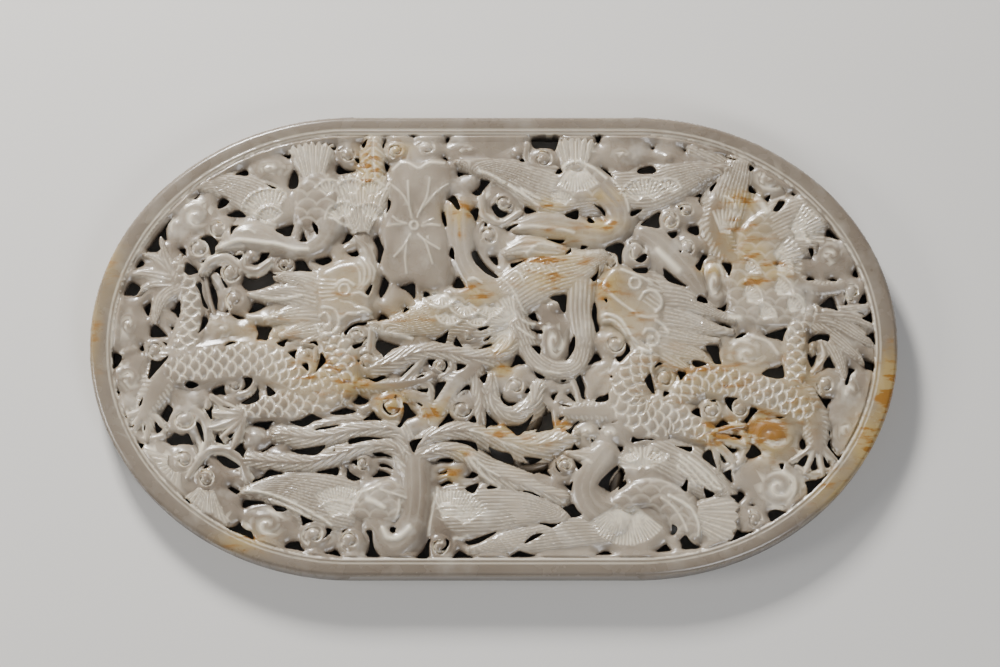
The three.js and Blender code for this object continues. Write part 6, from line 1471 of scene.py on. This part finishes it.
def paint(mesh, top, marks):
    """Stores how deep each vertex lies below its surroundings or below the face, as painted shade, and its
    stain, cuts and rim; the cut mark also covers raised lines and the rim's bevel, which it paints as a
    highlight.
    """
    count = len(mesh.vertices)
    place = np.empty(count * 3)
    mesh.vertices.foreach_get("co", place)
    place = place.reshape(-1, 3) / MM
    column = np.clip(((place[:, 0] - XS[0]) / STEP + 0.5).astype(int), 0, len(XS) - 1)
    row = np.clip(((place[:, 1] - YS[0]) / STEP + 0.5).astype(int), 0, len(YS) - 1)
    # Painted shade: darker where the face lies below its surroundings, and on the walls and back below the
    # face.
    broad = spread(top, 8) - top
    hollow_shade = np.clip(broad * 1.1 - 0.08, 0, 0.8) * (1 - 0.8 * marks)
    below = np.clip((top[row, column] - place[:, 2]) / 2.2, 0, 1)
    values = {
        "hollow_shade": np.clip(hollow_shade[row, column] + 0.8 * below, 0, 1),
        "stain": stain_map()[row, column],
        "cut": marks[row, column] * (below < 0.1),
        "rim": (oval_distance(RIM_AT_SIDES, RIM_AT_TOP) <= 0).astype(float)[row, column],
    }
    for name, value in values.items():
        layer = mesh.attributes.new(name, "FLOAT", "POINT")
        layer.data.foreach_set("value", value.astype(np.float32))


def within_solid(mesh):
    """Moves the few vertices that stand outside the solid's box onto it."""
    place = np.empty(len(mesh.vertices) * 3)
    mesh.vertices.foreach_get("co", place)
    low, high = np.array(cad_box, float)
    place = np.clip(place.reshape(-1, 3), low, high)
    mesh.vertices.foreach_set("co", place.ravel())


def jade_carving():
    """The whole plaque as one closed mesh in place of the solid."""
    vertices, faces, top, marks = plaque_arrays()
    mesh = fewer_triangles(plaque_mesh(vertices, faces))
    within_solid(mesh)
    paint(mesh, top, marks)
    mesh.polygons.foreach_set("use_smooth", np.ones(len(mesh.polygons), bool))
    mesh.set_sharp_from_angle(angle=math.radians(SHARP_ANGLE))
    mesh.materials.clear()
    mesh.materials.append(jade())
    carving = bpy.data.objects.new("jade_carving", mesh)
    bpy.context.scene.collection.objects.link(carving)
    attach(carving, "root")
    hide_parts(NODE)
    return carving


def camera():
    """The photograph's view: steeply down on the plaque, through a long lens."""
    lens = bpy.data.cameras.new("camera")
    lens.lens = CAMERA_LENS
    lens.clip_start = 0.05
    eye = bpy.data.objects.new("camera", lens)
    tilt = math.radians(CAMERA_TILT)
    eye.location = (AIM[0] * MM, (AIM[1] - CAMERA_REACH * math.sin(tilt)) * MM,
                    (AIM[2] + CAMERA_REACH * math.cos(tilt)) * MM)
    eye.rotation_euler = (tilt, 0, 0)
    bpy.context.scene.collection.objects.link(eye)
    bpy.context.scene.camera = eye


def light(name, place, size, power, tint):
    """A square lamp at a place in millimetres that faces the plaque."""
    lamp = bpy.data.lights.new(name, "AREA")
    lamp.size = size * MM
    lamp.energy = power
    lamp.color = tint
    stand = bpy.data.objects.new(name, lamp)
    stand.location = [v * MM for v in place]
    x, y, z = place
    stand.rotation_euler = (math.acos(z / math.sqrt(x * x + y * y + z * z)), 0, math.atan2(x, -y))
    bpy.context.scene.collection.objects.link(stand)


def studio():
    """A plain pale floor, a lamp behind the plaque, and weaker ones in front and at the left."""
    corners = [(-FLOOR, -FLOOR, 0), (FLOOR, -FLOOR, 0), (FLOOR, FLOOR, 0), (-FLOOR, FLOOR, 0)]
    mesh = bpy.data.meshes.new("floor")
    mesh.from_pydata([tuple(v * MM for v in corner) for corner in corners], [], [(0, 1, 2, 3)])
    tree = Tree("floor")
    tree.shade(Base_Color=colour(226, 224, 220), Roughness=0.85)
    mesh.materials.append(tree.material)
    floor = bpy.data.objects.new("floor", mesh)
    bpy.context.scene.collection.objects.link(floor)
    light("key", (-200, 460, 310), 120, 5.4, (1.0, 0.98, 0.95))
    light("fill", (240, -430, 420), 240, 1.5, (0.97, 0.98, 1.0))
    light("side", (-520, -60, 330), 180, 1.3, (1.0, 0.98, 0.95))
    world = bpy.data.worlds.new("world")
    world.use_nodes = True
    world.node_tree.nodes["Background"].inputs["Color"].default_value = (0.9, 0.93, 1.0, 1)
    world.node_tree.nodes["Background"].inputs["Strength"].default_value = 0.16
    bpy.context.scene.world = world


camera()
studio()
jade_carving()
